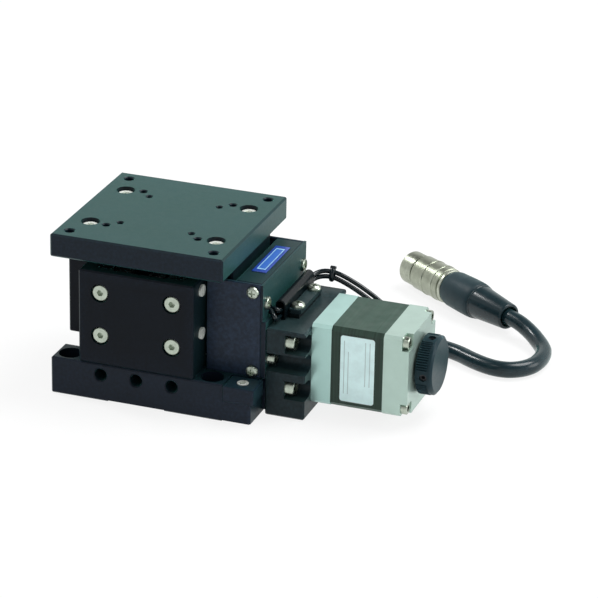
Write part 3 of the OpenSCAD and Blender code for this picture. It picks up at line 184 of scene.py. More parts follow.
class Finish:
    """A node tree built step by step round one Principled BSDF."""

    def __init__(self, name, colour, metallic=0.0, roughness=0.5, ior=1.45, coat=0.0, sheen=0.0,
                 sheen_tint=(1, 1, 1), coat_roughness=0.1):
        self.mat = bpy.data.materials.get(name) or bpy.data.materials.new(name)
        self.mat.use_nodes = True
        self.tree = self.mat.node_tree
        self.tree.nodes.clear()
        self.out = self.add("ShaderNodeOutputMaterial", 900)
        self.bsdf = self.add("ShaderNodeBsdfPrincipled", 600)
        self.link(self.bsdf.outputs["BSDF"], self.out.inputs["Surface"])
        self.bsdf.inputs["Base Color"].default_value = (*colour, 1)
        self.bsdf.inputs["Metallic"].default_value = metallic
        self.bsdf.inputs["Roughness"].default_value = roughness
        self.bsdf.inputs["IOR"].default_value = ior
        self.bsdf.inputs["Coat Weight"].default_value = coat
        self.bsdf.inputs["Coat Roughness"].default_value = coat_roughness
        self.bsdf.inputs["Sheen Weight"].default_value = sheen
        self.bsdf.inputs["Sheen Roughness"].default_value = 0.4
        self.bsdf.inputs["Sheen Tint"].default_value = (*sheen_tint, 1)
        self.mat.diffuse_color = (*colour, 1)
        self.colour = colour
        self.coords = self.add("ShaderNodeTexCoord", -900)
        self.bump_in = None

    def add(self, kind, x=0):
        node = self.tree.nodes.new(kind)
        node.location = (x, -160 * (len(self.tree.nodes) % 7))
        return node

    def link(self, a, b):
        self.tree.links.new(a, b)

    def noise(self, scale, detail=3.0, rough=0.55, stretch=None):
        """Noise over Object coordinates; stretch gives a scale along each axis."""
        tex = self.add("ShaderNodeTexNoise", -450)
        tex.inputs["Scale"].default_value = scale
        tex.inputs["Detail"].default_value = detail
        tex.inputs["Roughness"].default_value = rough
        source = self.coords.outputs["Object"]
        if stretch:
            mapping = self.add("ShaderNodeMapping", -680)
            mapping.inputs["Scale"].default_value = stretch
            self.link(source, mapping.inputs["Vector"])
            source = mapping.outputs["Vector"]
        self.link(source, tex.inputs["Vector"])
        return tex.outputs["Fac"]

    def spread(self, fac, low, high, start=0.3, end=0.7):
        """Map a 0..1 pattern between two values."""
        rng = self.add("ShaderNodeMapRange", -200)
        rng.inputs["From Min"].default_value = start
        rng.inputs["From Max"].default_value = end
        rng.inputs["To Min"].default_value = low
        rng.inputs["To Max"].default_value = high
        self.link(fac, rng.inputs["Value"])
        return rng.outputs["Result"]

    def tint(self, fac, dark, light, start=0.35, end=0.65):
        """Colour between two shades following a pattern."""
        ramp = self.add("ShaderNodeValToRGB", 100)
        ramp.color_ramp.elements[0].position = start
        ramp.color_ramp.elements[1].position = end
        ramp.color_ramp.elements[0].color = (*dark, 1)
        ramp.color_ramp.elements[1].color = (*light, 1)
        self.link(fac, ramp.inputs["Fac"])
        self.link(ramp.outputs["Color"], self.bsdf.inputs["Base Color"])
        return ramp.outputs["Color"]

    def roughness(self, fac, low, high, start=0.3, end=0.7):
        self.link(self.spread(fac, low, high, start, end), self.bsdf.inputs["Roughness"])

    def bump(self, fac, depth, strength=0.5):
        node = self.add("ShaderNodeBump", 350)
        node.inputs["Strength"].default_value = strength
        node.inputs["Distance"].default_value = depth
        self.link(fac, node.inputs["Height"])
        if self.bump_in:
            self.link(self.bump_in, node.inputs["Normal"])
        self.bump_in = node.outputs["Normal"]
        self.link(self.bump_in, self.bsdf.inputs["Normal"])

    def painted_sheen_on_tops(self, low, high):
        """Sheen strongest on faces turned upwards and weaker on side faces: a painted sheen."""
        geo = self.add("ShaderNodeNewGeometry", -680)
        sep = self.add("ShaderNodeSeparateXYZ", -450)
        self.link(geo.outputs["Normal"], sep.inputs["Vector"])
        self.link(self.spread(sep.outputs["Z"], low, high, 0.2, 0.9), self.bsdf.inputs["Sheen Weight"])

    def times(self, a, b):
        """Product of two patterns."""
        node = self.add("ShaderNodeMath", 0)
        node.operation = "MULTIPLY"
        self.link(a, node.inputs[0])
        self.link(b, node.inputs[1])
        return node.outputs["Value"]

    def over(self, fac, below, colour):
        """Lay a colour over another one where fac is 1."""
        mix = self.add("ShaderNodeMix", 300)
        mix.data_type = "RGBA"
        self.link(fac, mix.inputs["Factor"])
        self.link(below, mix.inputs[6])
        mix.inputs[7].default_value = (*colour, 1)
        return mix.outputs[2]

    def banded(self, low, high, axis, soft=0.00006):
        """1 between low and high along one Object axis, 0 outside."""
        sep = self.add("ShaderNodeSeparateXYZ", -680)
        self.link(self.coords.outputs["Object"], sep.inputs["Vector"])
        up = self.spread(sep.outputs[axis], 0, 1, low - soft, low + soft)
        down = self.spread(sep.outputs[axis], 1, 0, high - soft, high + soft)
        return self.times(up, down)

    def pale_convex_edges(self, base, edge, amount):
        """Pale edges where the surface is sharply convex, broken up by noise; on the knob's knurl and the
        plug's ridges they are a painted highlight.
        """
        geo = self.add("ShaderNodeNewGeometry", -450)
        convex = self.spread(geo.outputs["Pointiness"], 0, amount, 0.53, 0.62)
        patchy = self.spread(self.noise(900, 4), 0.2, 1.0, 0.4, 0.7)
        self.link(self.over(self.times(convex, patchy), base, edge), self.bsdf.inputs["Base Color"])


def shade(colour, k):
    return tuple(min(1.0, c * k) for c in colour)


def anodised(name, colour, rough=0.4, ior=1.26, sheen=0.36, edge_paleness=4, cast=(0.22, 1.0, 0.8)):
    """Fine-blasted aluminium with a dyed anodic layer; its green-tinted sheen at a low angle is a painted
    sheen, made stronger on faces turned upwards.
    """
    f = Finish(name, colour, 0.0, rough, ior, 0.0, sheen, cast)
    base = f.tint(f.noise(45, 3), shade(colour, 0.85), shade(colour, 1.15))
    # pale convex edges at a multiple of the body colour; on the knob they are a painted highlight
    f.pale_convex_edges(base, shade(colour, edge_paleness), 0.5)
    f.roughness(f.noise(700, 4), rough - 0.03, rough + 0.03)
    f.bump(f.noise(6500, 2, 0.6), 0.00002, 0.35)
    # painted sheen: full on faces turned upwards, less than half on side faces
    f.painted_sheen_on_tops(sheen * 0.45, sheen)


def metal(name, colour, rough, stretch=None, scale=400, depth=0.00001, metallic=1.0):
    """Bare or plated metal; stretch draws the grain out along the cut."""
    f = Finish(name, colour, metallic, rough)
    grain = f.noise(scale, 4, 0.6, stretch)
    f.tint(grain, shade(colour, 0.84), shade(colour, 1.08), 0.3, 0.7)
    f.roughness(f.noise(scale * 0.6, 3, 0.5, stretch), rough * 0.75, rough * 1.3)
    f.bump(grain, depth, 0.5)


def plastic(name, colour, rough, ior=1.47, depth=0.00002, scale=2500, coat=0.0, sheen=0.0):
    """Moulded plastic or rubber with a fine skin."""
    f = Finish(name, colour, 0.0, rough, ior, coat, sheen, (0.3, 1.0, 0.85), 0.16)
    f.tint(f.noise(120, 3), shade(colour, 0.85), shade(colour, 1.15))
    f.roughness(f.noise(500, 4), rough * 0.85, rough * 1.15)
    f.bump(f.noise(scale, 3), depth, 0.4)


def stator_finish(look):
    """Varnished lamination stack: fine lines across the motor's axis."""
    f = Finish("stator_paint", look.stator_colour, 0.0, 0.4, 1.35, 0.0, 0.3, (0.35, 1.0, 0.72))
    stripes = f.noise(1500, 1.5, 0.4, (1.6, 0.012, 0.012))
    f.tint(stripes, shade(f.colour, 0.75), shade(f.colour, 1.25), 0.35, 0.65)
    f.roughness(f.noise(300, 3), 0.3, 0.46)
    f.bump(stripes, 0.00004, 0.5)


def cast_finish(name, colour):
    """Die-cast motor end, blasted and slightly mottled."""
    f = Finish(name, colour, 0.6, 0.34)
    f.tint(f.noise(160, 4), shade(colour, 0.97), shade(colour, 1.03))
    f.roughness(f.noise(420, 4), 0.3, 0.38)
    f.bump(f.noise(7000, 3, 0.6), 0.000008, 0.3)


def plug_finish(look):
    """Plated brass with a fine skin; its ridges carry a painted highlight."""
    f = Finish("plug_nickel", look.plug_colour, 1.0, 0.34)
    grain = f.noise(600, 4, 0.6)
    base = f.tint(grain, shade(f.colour, 0.84), shade(f.colour, 1.08), 0.3, 0.7)
    # painted highlight: near-white ridges and ring edges on the shell
    f.pale_convex_edges(base, (0.95, 1, 0.9), 0.9)
    f.roughness(f.noise(360, 3), 0.28, 0.4)
    f.bump(grain, 0.00001, 0.5)


def plate_finish(look):
    """Enamelled plate: deep blue with a paler panel inside a thin light line."""
    f = Finish("plate_blue", look.plate_colour, 0.0, 0.3, 1.5, 0.3)
    x0, y0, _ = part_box("name_plate")[0]
    x1, y1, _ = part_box("name_plate")[1]

    def inset(m):
        return f.times(f.banded(x0 + m, x1 - m, 0), f.banded(y0 + 2.2 * m, y1 - 2.2 * m, 1))

    field = f.tint(f.noise(220, 3), shade(f.colour, 0.9), shade(f.colour, 1.08))
    field = f.over(inset(1.0 * MM), field, (0.36, 0.66, 0.85))
    field = f.over(inset(1.3 * MM), field, (0.03, 0.14, 0.55))
    f.link(field, f.bsdf.inputs["Base Color"])
    f.bump(f.noise(1800, 2), 0.00001, 0.25)


def label_finish(look):
    """Satin label, blank but for faint ruled lines."""
    f = Finish("motor_label", look.label_colour, 0.0, 0.42, 1.45)
    field = f.tint(f.noise(300, 3), shade(f.colour, 0.94), shade(f.colour, 1.04))
    for x, z0, z1 in LABEL_RULES:
        across = f.banded((x - RULE_HALF_WIDTH) * MM, (x + RULE_HALF_WIDTH) * MM, 0)
        rule = f.times(across, f.banded(z0 * MM, z1 * MM, 2))
        field = f.over(rule, field, shade(f.colour, 0.55))
    f.link(field, f.bsdf.inputs["Base Color"])
    f.bump(f.noise(1800, 2), 0.00001, 0.2)


def make_finishes(look):
    black = look.body_colour
    # the anodised finishes are lit and shaded copies of one material, their darkness and sheen set per part
    # group to paint light and shade; this one has little sheen, painted shade on the base and corner block
    anodised("black_anodised", shade(black, 1.3), sheen=0.16)
    # painted sheen: more sheen on the end block's copy to light its top
    anodised("block_anodised_painted_sheen", black, sheen=0.3)
    # painted shade: a darker copy with little sheen for the guides and carriage under the table
    anodised("guide_anodised_painted_shade", shade(black, 0.6), 0.42, 1.22, 0.12)
    # painted light: a copy twice as light for the front and rear covers
    anodised("panel_anodised_painted_light", shade(black, 2.0), 0.4, 1.3, 0.2)
    # painted sheen: more sheen for the faces of the end cover and bearing cap
    anodised("cover_anodised_painted_sheen", black, sheen=0.4)
    # painted sheen: the most sheen, to light the table's top
    anodised("table_anodised", shade(black, 1.1), 0.36, sheen=0.52)
    anodised("bracket_anodised", (0.006, 0.013, 0.016), 0.36, sheen=0.2, cast=(0.5, 1.0, 0.9))
    metal("ground_steel", (0.52, 0.53, 0.53), 0.25, (1, 1, 12))
    metal("turned_steel", (0.5, 0.51, 0.51), 0.28, (14, 1, 1))
    metal("spring_wire", (0.42, 0.43, 0.44), 0.32)
    metal("nickel_screws", look.screw_colour, 0.28, scale=1100, depth=0.000012)
    metal("satin_screw", (0.84, 0.88, 0.82), 0.35, scale=900, metallic=0.35)
    metal("black_steel", (0.02, 0.022, 0.026), 0.35, scale=900, metallic=0.3)
    cast_finish("cast_flange", look.flange_colour)
    cast_finish("cast_bracket", look.motor_colour)
    metal("milled_aluminium", (0.62, 0.64, 0.64), 0.34, (1, 10, 1))
    stator_finish(look)
    metal("bronze", (0.55, 0.36, 0.14), 0.3, scale=500)
    plastic("phenolic", (0.16, 0.085, 0.035), 0.5)
    plastic("black_plastic", (0.012, 0.014, 0.014), 0.42)
    plate_finish(look)
    label_finish(look)
    # painted highlight: the knob's pale groove edges stand in for light catching the knurl
    anodised("knob_black", look.knob_colour, 0.36, 1.22, 0.06, edge_paleness=8)
    plastic("cable_jacket", look.cable_colour, 0.3, 1.3, coat=0.3, sheen=0.1)
    plastic("wire_jacket", shade(look.cable_colour, 0.5), 0.22, 1.3, coat=0.4)
    plastic("shrink_tube", shade(look.cable_colour, 0.3), 0.3, 1.25, coat=0.15)
    plastic("boot_rubber", look.cable_colour, 0.3, 1.3, coat=0.4, sheen=0.1)
    plastic("barrel_plastic", shade(look.cable_colour, 1.3), 0.48, 1.35, sheen=0.1)
    plug_finish(look)
    metal("contact_gold", (0.75, 0.52, 0.2), 0.25)


def finish(name):
    return bpy.data.materials[name]


# ------------------------------------------------------------------ modelling helpers

def deselect():
    if bpy.context.mode != "OBJECT":
        bpy.ops.object.mode_set(mode="OBJECT")
    bpy.ops.object.select_all(action="DESELECT")


def only(obj):
    deselect()
    obj.select_set(True)
    bpy.context.view_layer.objects.active = obj


def pick(obj, test, kind="FACE"):
    """In edit mode on obj, select the faces or vertices for which test(place, normal) holds."""
    bpy.ops.object.mode_set(mode="EDIT")
    bpy.ops.mesh.select_mode(type=kind)
    bpy.ops.mesh.select_all(action="DESELECT")
    bpy.ops.object.mode_set(mode="OBJECT")
    mesh = obj.data
    if kind == "FACE":
        for p in mesh.polygons:
            p.select = bool(test(p.center, p.normal))
    else:
        for v in mesh.vertices:
            v.select = bool(test(v.co, v.normal))
    bpy.ops.object.mode_set(mode="EDIT")


def seat(obj, name, body, mat, smooth=35):
    """Name and place a finished piece: place in its mesh, faces outwards, finish and body set."""
    only(obj)
    obj.name = name
    obj.data.name = name
    bpy.ops.object.transform_apply(location=True, rotation=True, scale=True)
    bpy.ops.object.mode_set(mode="EDIT")
    bpy.ops.mesh.select_all(action="SELECT")
    bpy.ops.mesh.remove_doubles(threshold=0.000002)
    bpy.ops.mesh.normals_make_consistent(inside=False)
    bpy.ops.object.mode_set(mode="OBJECT")
    bpy.ops.object.shade_smooth_by_angle(angle=math.radians(smooth))
    obj.data.materials.clear()
    obj.data.materials.append(finish(mat))
    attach(obj, body)
    return obj


def apply(obj, name):
    only(obj)
    bpy.ops.object.modifier_apply(modifier=name)


def bevel(obj, width, segments=2, angle=35):
    mod = obj.modifiers.new("edge", "BEVEL")
    mod.width = width
    mod.segments = segments
    mod.limit_method = "ANGLE"
    mod.angle_limit = math.radians(angle)
    apply(obj, "edge")


def through(points, steps=6):
    """Smooth line through route points, a uniform Catmull-Rom spline, in metres."""
    p = [Vector(q) * MM for q in points]
    p = [p[0] * 2 - p[1]] + p + [p[-1] * 2 - p[-2]]
    line = []
    for i in range(1, len(p) - 2):
        for s in range(steps):
            t = s / steps
            a, b, c, d = p[i - 1], p[i], p[i + 1], p[i + 2]
            line.append(0.5 * ((2 * b) + (c - a) * t + (2 * a - 5 * b + 4 * c - d) * t * t
                               + (3 * b - a - 3 * c + d) * t ** 3))
    line.append(p[-2].copy())
    return line


def cord_curve(name, points, diameter, mat):
    """Round curve along a route, with the line it follows and that line's length."""
    line = through(points)
    data = bpy.data.curves.new(name, "CURVE")
    data.dimensions = "3D"
    spline = data.splines.new("POLY")
    spline.points.add(len(line) - 1)
    for q, v in zip(spline.points, line):
        q.co = (*v, 1)
    data.bevel_depth = diameter / 2
    data.bevel_resolution = 6
    data.use_fill_caps = True
    obj = bpy.data.objects.new(name, data)
    bpy.context.scene.collection.objects.link(obj)
    data.materials.append(finish(mat))
    length = sum((b - a).length for a, b in zip(line, line[1:]))
    return obj, line, length


def revolve(name, profile, frame_at, steps=96):
    """Closed solid of revolution: (along, radius) points in millimetres, spun about a piece's own X."""
    mesh = bpy.data.meshes.new(name)
    mesh.from_pydata([(x * MM, r * MM, 0) for x, r in profile],
                     [(i, i + 1) for i in range(len(profile) - 1)], [])
    obj = bpy.data.objects.new(name, mesh)
    bpy.context.scene.collection.objects.link(obj)
    only(obj)
    bpy.ops.object.mode_set(mode="EDIT")
    bpy.ops.mesh.select_all(action="SELECT")
    bpy.ops.mesh.spin(steps=steps, angle=math.tau, center=(0, 0, 0), axis=(1, 0, 0))
    bpy.ops.mesh.select_all(action="SELECT")
    bpy.ops.mesh.remove_doubles(threshold=0.000002)
    bpy.ops.mesh.normals_make_consistent(inside=False)
    bpy.ops.object.mode_set(mode="OBJECT")
    obj.matrix_world = frame_at
    return obj


# ------------------------------------------------------------------ settings

def colour_setting(name, description, default):
    return bpy.props.FloatVectorProperty(
        name=name, description=description, subtype="COLOR", size=3, min=0, max=1, default=default)


def length_setting(name, description, default, low, high):
    """A length, with its default and limits in millimetres."""
    return bpy.props.FloatProperty(
        name=name, description=description, unit="LENGTH", default=default * MM, min=low * MM, max=high * MM)


def power_setting(name, description, default):
    return bpy.props.FloatProperty(name=name, description=description, unit="POWER", default=default, min=0)


class StageLook(bpy.types.PropertyGroup):
    body_colour: colour_setting("Body", "Colour of the anodised body", (0.003, 0.006, 0.012))
    screw_colour: colour_setting("Screws", "Colour of the plated screws", (0.45, 0.51, 0.43))
    flange_colour: colour_setting(
        "Motor flange", "Colour of the motor's cast front flange", (0.4, 0.61, 0.57))
    motor_colour: colour_setting("Motor end", "Colour of the motor's cast rear bracket", (0.43, 0.57, 0.51))
    stator_colour: colour_setting("Stator", "Colour of the stator", (0.015, 0.034, 0.024))
    knob_colour: colour_setting("Knob", "Colour of the hand knob", (0.011, 0.028, 0.036))
    cable_colour: colour_setting("Cable", "Colour of the cable jacket", (0.006, 0.018, 0.024))
    plate_colour: colour_setting("Plate", "Colour of the blue name plate", (0.006, 0.05, 0.36))
    label_colour: colour_setting("Label", "Colour of the motor's label", (0.72, 0.94, 0.94))
    plug_colour: colour_setting("Connector", "Colour of the connector's plated shell", (0.36, 0.39, 0.31))


class StageSizes(bpy.types.PropertyGroup):
    cable_diameter: length_setting("Cable", "Diameter of the cable", 5.6, 4, 6)
    wire_diameter: length_setting("Wires", "Diameter of a sensor wire", 1.6, 0.8, 1.7)
    knob_radius: length_setting("Knob", "Radius of the hand knob", 10, 8, 10.5)
    knob_length: length_setting("Knob length", "Length of the hand knob", 5.8, 4, 6)
    grooves: bpy.props.IntProperty(
        name="Grooves", description="Grooves round the hand knob", default=76, min=40, max=90)
    key_light: power_setting("Key light", "Power that the key and side lights follow", 1.0)
    fill_light: power_setting("Fill light", "Power that the front and left lights follow", 0.35)
    back_light: power_setting("Back light", "Power that the back light follows", 0.04)


def look():
    return bpy.context.scene.stage_look


def sizes():
    return bpy.context.scene.stage_sizes


# ------------------------------------------------------------------ operators

class STAGE_OT_studio(bpy.types.Operator):
    """Camera, floor, light tent and soft lights"""
    bl_idname = "stage.studio"
    bl_label = "Studio"

    def execute(self, context):
        self.camera(context)
        deselect()
        bpy.ops.mesh.primitive_plane_add(size=12, location=(0, 0, 0))
        floor = context.object
        floor.name = "studio_floor"
        floor.data.materials.append(self.floor_paper())
        self.world(context)
        for name, (place, aim, size, setting, multiple) in LAMPS.items():
            self.light(name, place, aim, size, getattr(sizes(), setting) * multiple)
        context.scene.view_settings.view_transform = "Standard"
        return {"FINISHED"}

    def camera(self, context):
        az, el, roll = (math.radians(v) for v in (CAMERA_AZIMUTH, CAMERA_ELEVATION, CAMERA_ROLL))
        back = Vector((math.sin(az) * math.cos(el), -math.cos(az) * math.cos(el), math.sin(el)))
        right = Vector((math.cos(az), math.sin(az), 0))
        up = back.cross(right)
        right, up = right * math.cos(roll) + up * math.sin(roll), up * math.cos(roll) - right * math.sin(roll)
        place = Vector(CAMERA_TARGET) * MM + back * CAMERA_DISTANCE
        deselect()
        bpy.ops.object.camera_add(location=place)
        camera = context.object
        camera.name = "camera"
        camera.matrix_world = Matrix((
            (right.x, up.x, back.x, place.x), (right.y, up.y, back.y, place.y),
            (right.z, up.z, back.z, place.z), (0, 0, 0, 1)))
        camera.data.sensor_width = SENSOR_WIDTH
        camera.data.lens = SENSOR_WIDTH * FOCAL_PIXELS / PICTURE_PIXELS
        camera.data.clip_start = 0.05
        camera.data.clip_end = 50
        context.scene.camera = camera

    def light(self, name, place, aim, size, power):
        deselect()
        bpy.ops.object.light_add(type="AREA", location=place)
        lamp = bpy.context.object
        lamp.name = name
        lamp.data.shape = "DISK"
        lamp.data.size = size
        lamp.data.energy = power
        lamp.rotation_euler = (Vector(aim) - Vector(place)).to_track_quat("-Z", "Y").to_euler()

    def seen_directly(self, tree):
        """1 for camera, glossy and transmission rays."""
        path = tree.nodes.new("ShaderNodeLightPath")
        fac = path.outputs["Is Camera Ray"]
        for name in ("Is Glossy Ray", "Is Transmission Ray"):
            node = tree.nodes.new("ShaderNodeMath")
            node.operation = "MAXIMUM"
            tree.links.new(fac, node.inputs[0])
            tree.links.new(path.outputs[name], node.inputs[1])
            fac = node.outputs["Value"]
        return fac

    def floor_paper(self):
        mat = bpy.data.materials.new("studio_paper")
        mat.use_nodes = True
        tree = mat.node_tree
        tree.nodes.clear()
        out = tree.nodes.new("ShaderNodeOutputMaterial")
        mix = tree.nodes.new("ShaderNodeMixShader")
        paper = tree.nodes.new("ShaderNodeBsdfDiffuse")
        glow = tree.nodes.new("ShaderNodeEmission")
        paper.inputs["Color"].default_value = (0.86, 0.87, 0.87, 1)
        glow.inputs["Color"].default_value = (1, 1, 1, 1)
        glow.inputs["Strength"].default_value = 1.0
        part = tree.nodes.new("ShaderNodeMath")
        part.operation = "MULTIPLY"
        part.inputs[1].default_value = PAPER_GLOW
        tree.links.new(self.seen_directly(tree), part.inputs[0])
        tree.links.new(part.outputs[0], mix.inputs["Fac"])
        tree.links.new(paper.outputs[0], mix.inputs[1])
        tree.links.new(glow.outputs[0], mix.inputs[2])
        tree.links.new(mix.outputs[0], out.inputs["Surface"])
        return mat

    def world(self, context):
        """White round the horizon and dimmer overhead, as a room with a soft light tent."""
        world = bpy.data.worlds.new("studio_world")
        context.scene.world = world
        world.use_nodes = True
        tree = world.node_tree
        tree.nodes.clear()
        out = tree.nodes.new("ShaderNodeOutputWorld")
        back = tree.nodes.new("ShaderNodeBackground")
        coords = tree.nodes.new("ShaderNodeTexCoord")
        height = tree.nodes.new("ShaderNodeSeparateXYZ")
        tent = tree.nodes.new("ShaderNodeMapRange")
        tent.interpolation_type = "SMOOTHSTEP"
        tent.inputs["From Min"].default_value = TENT_FROM
        tent.inputs["From Max"].default_value = TENT_TO
        tent.inputs["To Min"].default_value = TENT_BRIGHT
        tent.inputs["To Max"].default_value = TENT_DIM
        strength = tree.nodes.new("ShaderNodeMix")
        strength.inputs[2].default_value = TENT_AMBIENT
        tree.links.new(coords.outputs["Generated"], height.inputs["Vector"])
        tree.links.new(height.outputs["Z"], tent.inputs["Value"])
        tree.links.new(self.seen_directly(tree), strength.inputs["Factor"])
        tree.links.new(tent.outputs["Result"], strength.inputs[3])
        tree.links.new(strength.outputs[0], back.inputs["Strength"])
        tree.links.new(back.outputs[0], out.inputs["Surface"])


class STAGE_OT_finishes(bpy.types.Operator):
    """Finish of every solid part"""
    bl_idname = "stage.finishes"
    bl_label = "Finishes"

    def execute(self, context):
        make_finishes(look())
        for name, nodes in NODE_FINISH.items():
            for node in nodes:
                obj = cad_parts[node]
                if not obj.data.materials:
                    obj.data.materials.append(finish(name))
                for i in range(len(obj.material_slots)):
                    obj.material_slots[i].material = finish(name)
        return {"FINISHED"}


class STAGE_OT_cable(bpy.types.Operator):
    """Motor cable lying behind the stage"""
    bl_idname = "stage.cable"
    bl_label = "Cable"

    def execute(self, context):
        d = sizes().cable_diameter
        cable, line, length = cord_curve("motor_cable", CABLE_ROUTE, d, "cable_jacket")
        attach(cable, "base")
        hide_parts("cable")
        # heat-shrink sleeve where the wires enter the cable
        sleeve = revolve("cable_sleeve", [
            (0, 2.82), (0, 3.2), (0.3, 3.4), (11.6, 3.4), (12, 3.2), (12, 2.5), (8, 2.3), (3, 2.2), (3, 0)],
            Matrix.Translation(Vector(CABLE_ROUTE[0]) * MM), 48)
        seat(sleeve, "cable_sleeve", "base", "wire_jacket")
        return {"FINISHED"}


class STAGE_OT_wires(bpy.types.Operator):
    """Sensor wires from the end block to the cable's sleeve, and the tie that holds them"""
    bl_idname = "stage.wires"
    bl_label = "Sensor wires"

    def execute(self, context):
        d = sizes().wire_diameter
        for i, route in enumerate(WIRE_ROUTES):
            wire = cord_curve(f"sensor_wire_{i + 1}", route, d, "wire_jacket")[0]
            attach(wire, "base")
            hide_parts("sensor_wires")
        self.tie(context)
        return {"FINISHED"}

    def tie(self, context):
        """Flat band round both wires, with its small head on top."""
        frame_at = (Matrix.Translation(Vector(TIE_AT) * MM)
                    @ Matrix.Rotation(math.radians(TIE_LEAN), 4, "X")
                    @ Matrix.Rotation(math.radians(90), 4, "Y"))
        deselect()
        bpy.ops.mesh.primitive_torus_add(
            major_segments=48, minor_segments=16, major_radius=1.15 * MM, minor_radius=0.3 * MM)
        band = context.object
        band.matrix_world = frame_at @ Matrix.Diagonal((1.7, 1, 2.6, 1))
        seat(band, "cable_tie_band", "base", "wire_jacket")
        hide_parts("cable_tie")
        deselect()
        bpy.ops.mesh.primitive_cube_add(size=1)
        head = context.object
        head.matrix_world = (frame_at @ Matrix.Translation((TIE_HEAD_OFFSET * MM, 0, 0))
                             @ Matrix.Diagonal((*(v * MM for v in TIE_HEAD), 1)))
        only(head)
        bpy.ops.object.transform_apply(location=True, rotation=True, scale=True)
        bevel(head, 0.35 * MM, 4)
        seat(head, "cable_tie_head", "base", "wire_jacket")


class STAGE_OT_knob(bpy.types.Operator):
    """Hand knob with straight knurling, plain beside its set screws"""
    bl_idname = "stage.knob"
    bl_label = "Hand knob"

    def execute(self, context):
        s = sizes()
        length, sides = s.knob_length, s.grooves * 4
        deselect()
        bpy.ops.mesh.primitive_cylinder_add(
            vertices=sides, radius=s.knob_radius - 0.15 * MM, depth=length, end_fill_type="NGON",
            location=(KNOB_X + length / 2, 0, AXIS_Z), rotation=(0, math.pi / 2, 0))
        knob = context.object
        only(knob)
        bpy.ops.object.transform_apply(location=True, rotation=True, scale=True)
        bpy.ops.object.mode_set(mode="EDIT")
        # rings that bound the knurled band and the shoulders
        for x in KNOB_RINGS:
            bpy.ops.mesh.select_all(action="SELECT")
            bpy.ops.mesh.bisect(plane_co=(KNOB_X + x * MM, 0, 0), plane_no=(1, 0, 0))
        centre = (KNOB_X, 0, AXIS_Z)

        def ring(lo, hi, factor, test=None):
            """Scale the outer points between two places along the axis."""
            pick(knob, lambda c, nrm: KNOB_X + lo * MM < c.x < KNOB_X + hi * MM
                 and math.hypot(c.y, c.z - AXIS_Z) > 1 * MM and (test is None or test(c)), "VERT")
            bpy.ops.transform.resize(value=(1, factor, factor), center_override=centre)

        def turn(c):
            """Angle of a point about the axis, in degrees from the top."""
            return math.degrees(math.atan2(-c.y, c.z - AXIS_Z)) % 360

        def plain(c):
            return any(abs((turn(c) - a + 180) % 360 - 180) < PLAIN_ANGLE for a in SET_SCREW_ANGLES)

        def knurled(c):
            return not plain(c) and round(turn(c) / (360 / sides)) % 4 < 2

        end = length / MM
        band = KNURL_FROM - RING_REACH / 2, KNURL_TO + RING_REACH / 2
        ring(-RING_REACH, RING_REACH, KNOB_BACK)
        ring(end - RING_REACH, end + RING_REACH, KNOB_FRONT)
        ring(*band, KNURL_CREST, knurled)
        ring(*band, KNURL_ROOT, lambda c: not plain(c) and not knurled(c))
        # dished front face
        pick(knob, lambda c, nrm: nrm.x > 0.9, "FACE")
        bpy.ops.mesh.inset(thickness=0.5 * MM)
        bpy.ops.mesh.inset(thickness=1.6 * MM)
        bpy.ops.transform.translate(value=(-0.12 * MM, 0, 0))
        bpy.ops.object.mode_set(mode="OBJECT")
        bevel(knob, 0.08 * MM, 2, 50)
        # holes of the set screws
        for a in SET_SCREW_ANGLES:
            deselect()
            bpy.ops.mesh.primitive_cylinder_add(
                vertices=32, radius=HOLE_RADIUS * MM, depth=HOLE_DEPTH * MM)
            drill = context.object
            turned = Matrix.Rotation(math.radians(a), 4, "X")
            drill.matrix_world = (Matrix.Translation((HOLE_X, 0, AXIS_Z)) @ turned
                                  @ Matrix.Translation((0, 0, HOLE_CENTRE * MM)))
            mod = knob.modifiers.new("hole", "BOOLEAN")
            mod.operation = "DIFFERENCE"
            mod.object = drill
            apply(knob, "hole")
            bpy.data.objects.remove(drill)
        seat(knob, "hand_knob_body", "screw", "knob_black", 30)
        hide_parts("hand_knob")
        neck = revolve("hand_knob_neck", [
            (-0.4, 2.2), (-0.4, 4.8), (-0.2, 5), (0.2, 5), (0.2, 2.2), (-0.4, 2.2)],
            Matrix.Translation((KNOB_X, 0, AXIS_Z)), 48)
        seat(neck, "hand_knob_neck", "screw", "knob_black")
        return {"FINISHED"}


class STAGE_OT_motor_label(bpy.types.Operator):
    """White label with faint ruled lines on the stator's front"""
    bl_idname = "stage.motor_label"
    bl_label = "Motor label"

    def execute(self, context):
        deselect()
        bpy.ops.mesh.primitive_cube_add(size=1, location=[v * MM for v in LABEL_AT])
        label = context.object
        label.scale = [v * MM for v in LABEL_SIZE]
        only(label)
        bpy.ops.object.transform_apply(location=True, rotation=True, scale=True)
        # round the four corners
        bpy.ops.object.mode_set(mode="EDIT")
        bpy.ops.mesh.select_mode(type="EDGE")
        bpy.ops.mesh.select_all(action="DESELECT")
        bpy.ops.object.mode_set(mode="OBJECT")
        for e in label.data.edges:
            a, b = (label.data.vertices[i].co for i in e.vertices)
            e.select = abs((a - b).normalized().y) > 0.9
        bpy.ops.object.mode_set(mode="EDIT")
        bpy.ops.mesh.bevel(offset=LABEL_CORNER * MM, segments=5)
        bpy.ops.object.mode_set(mode="OBJECT")
        seat(label, "motor_label", "base", "motor_label", 40)
        return {"FINISHED"}


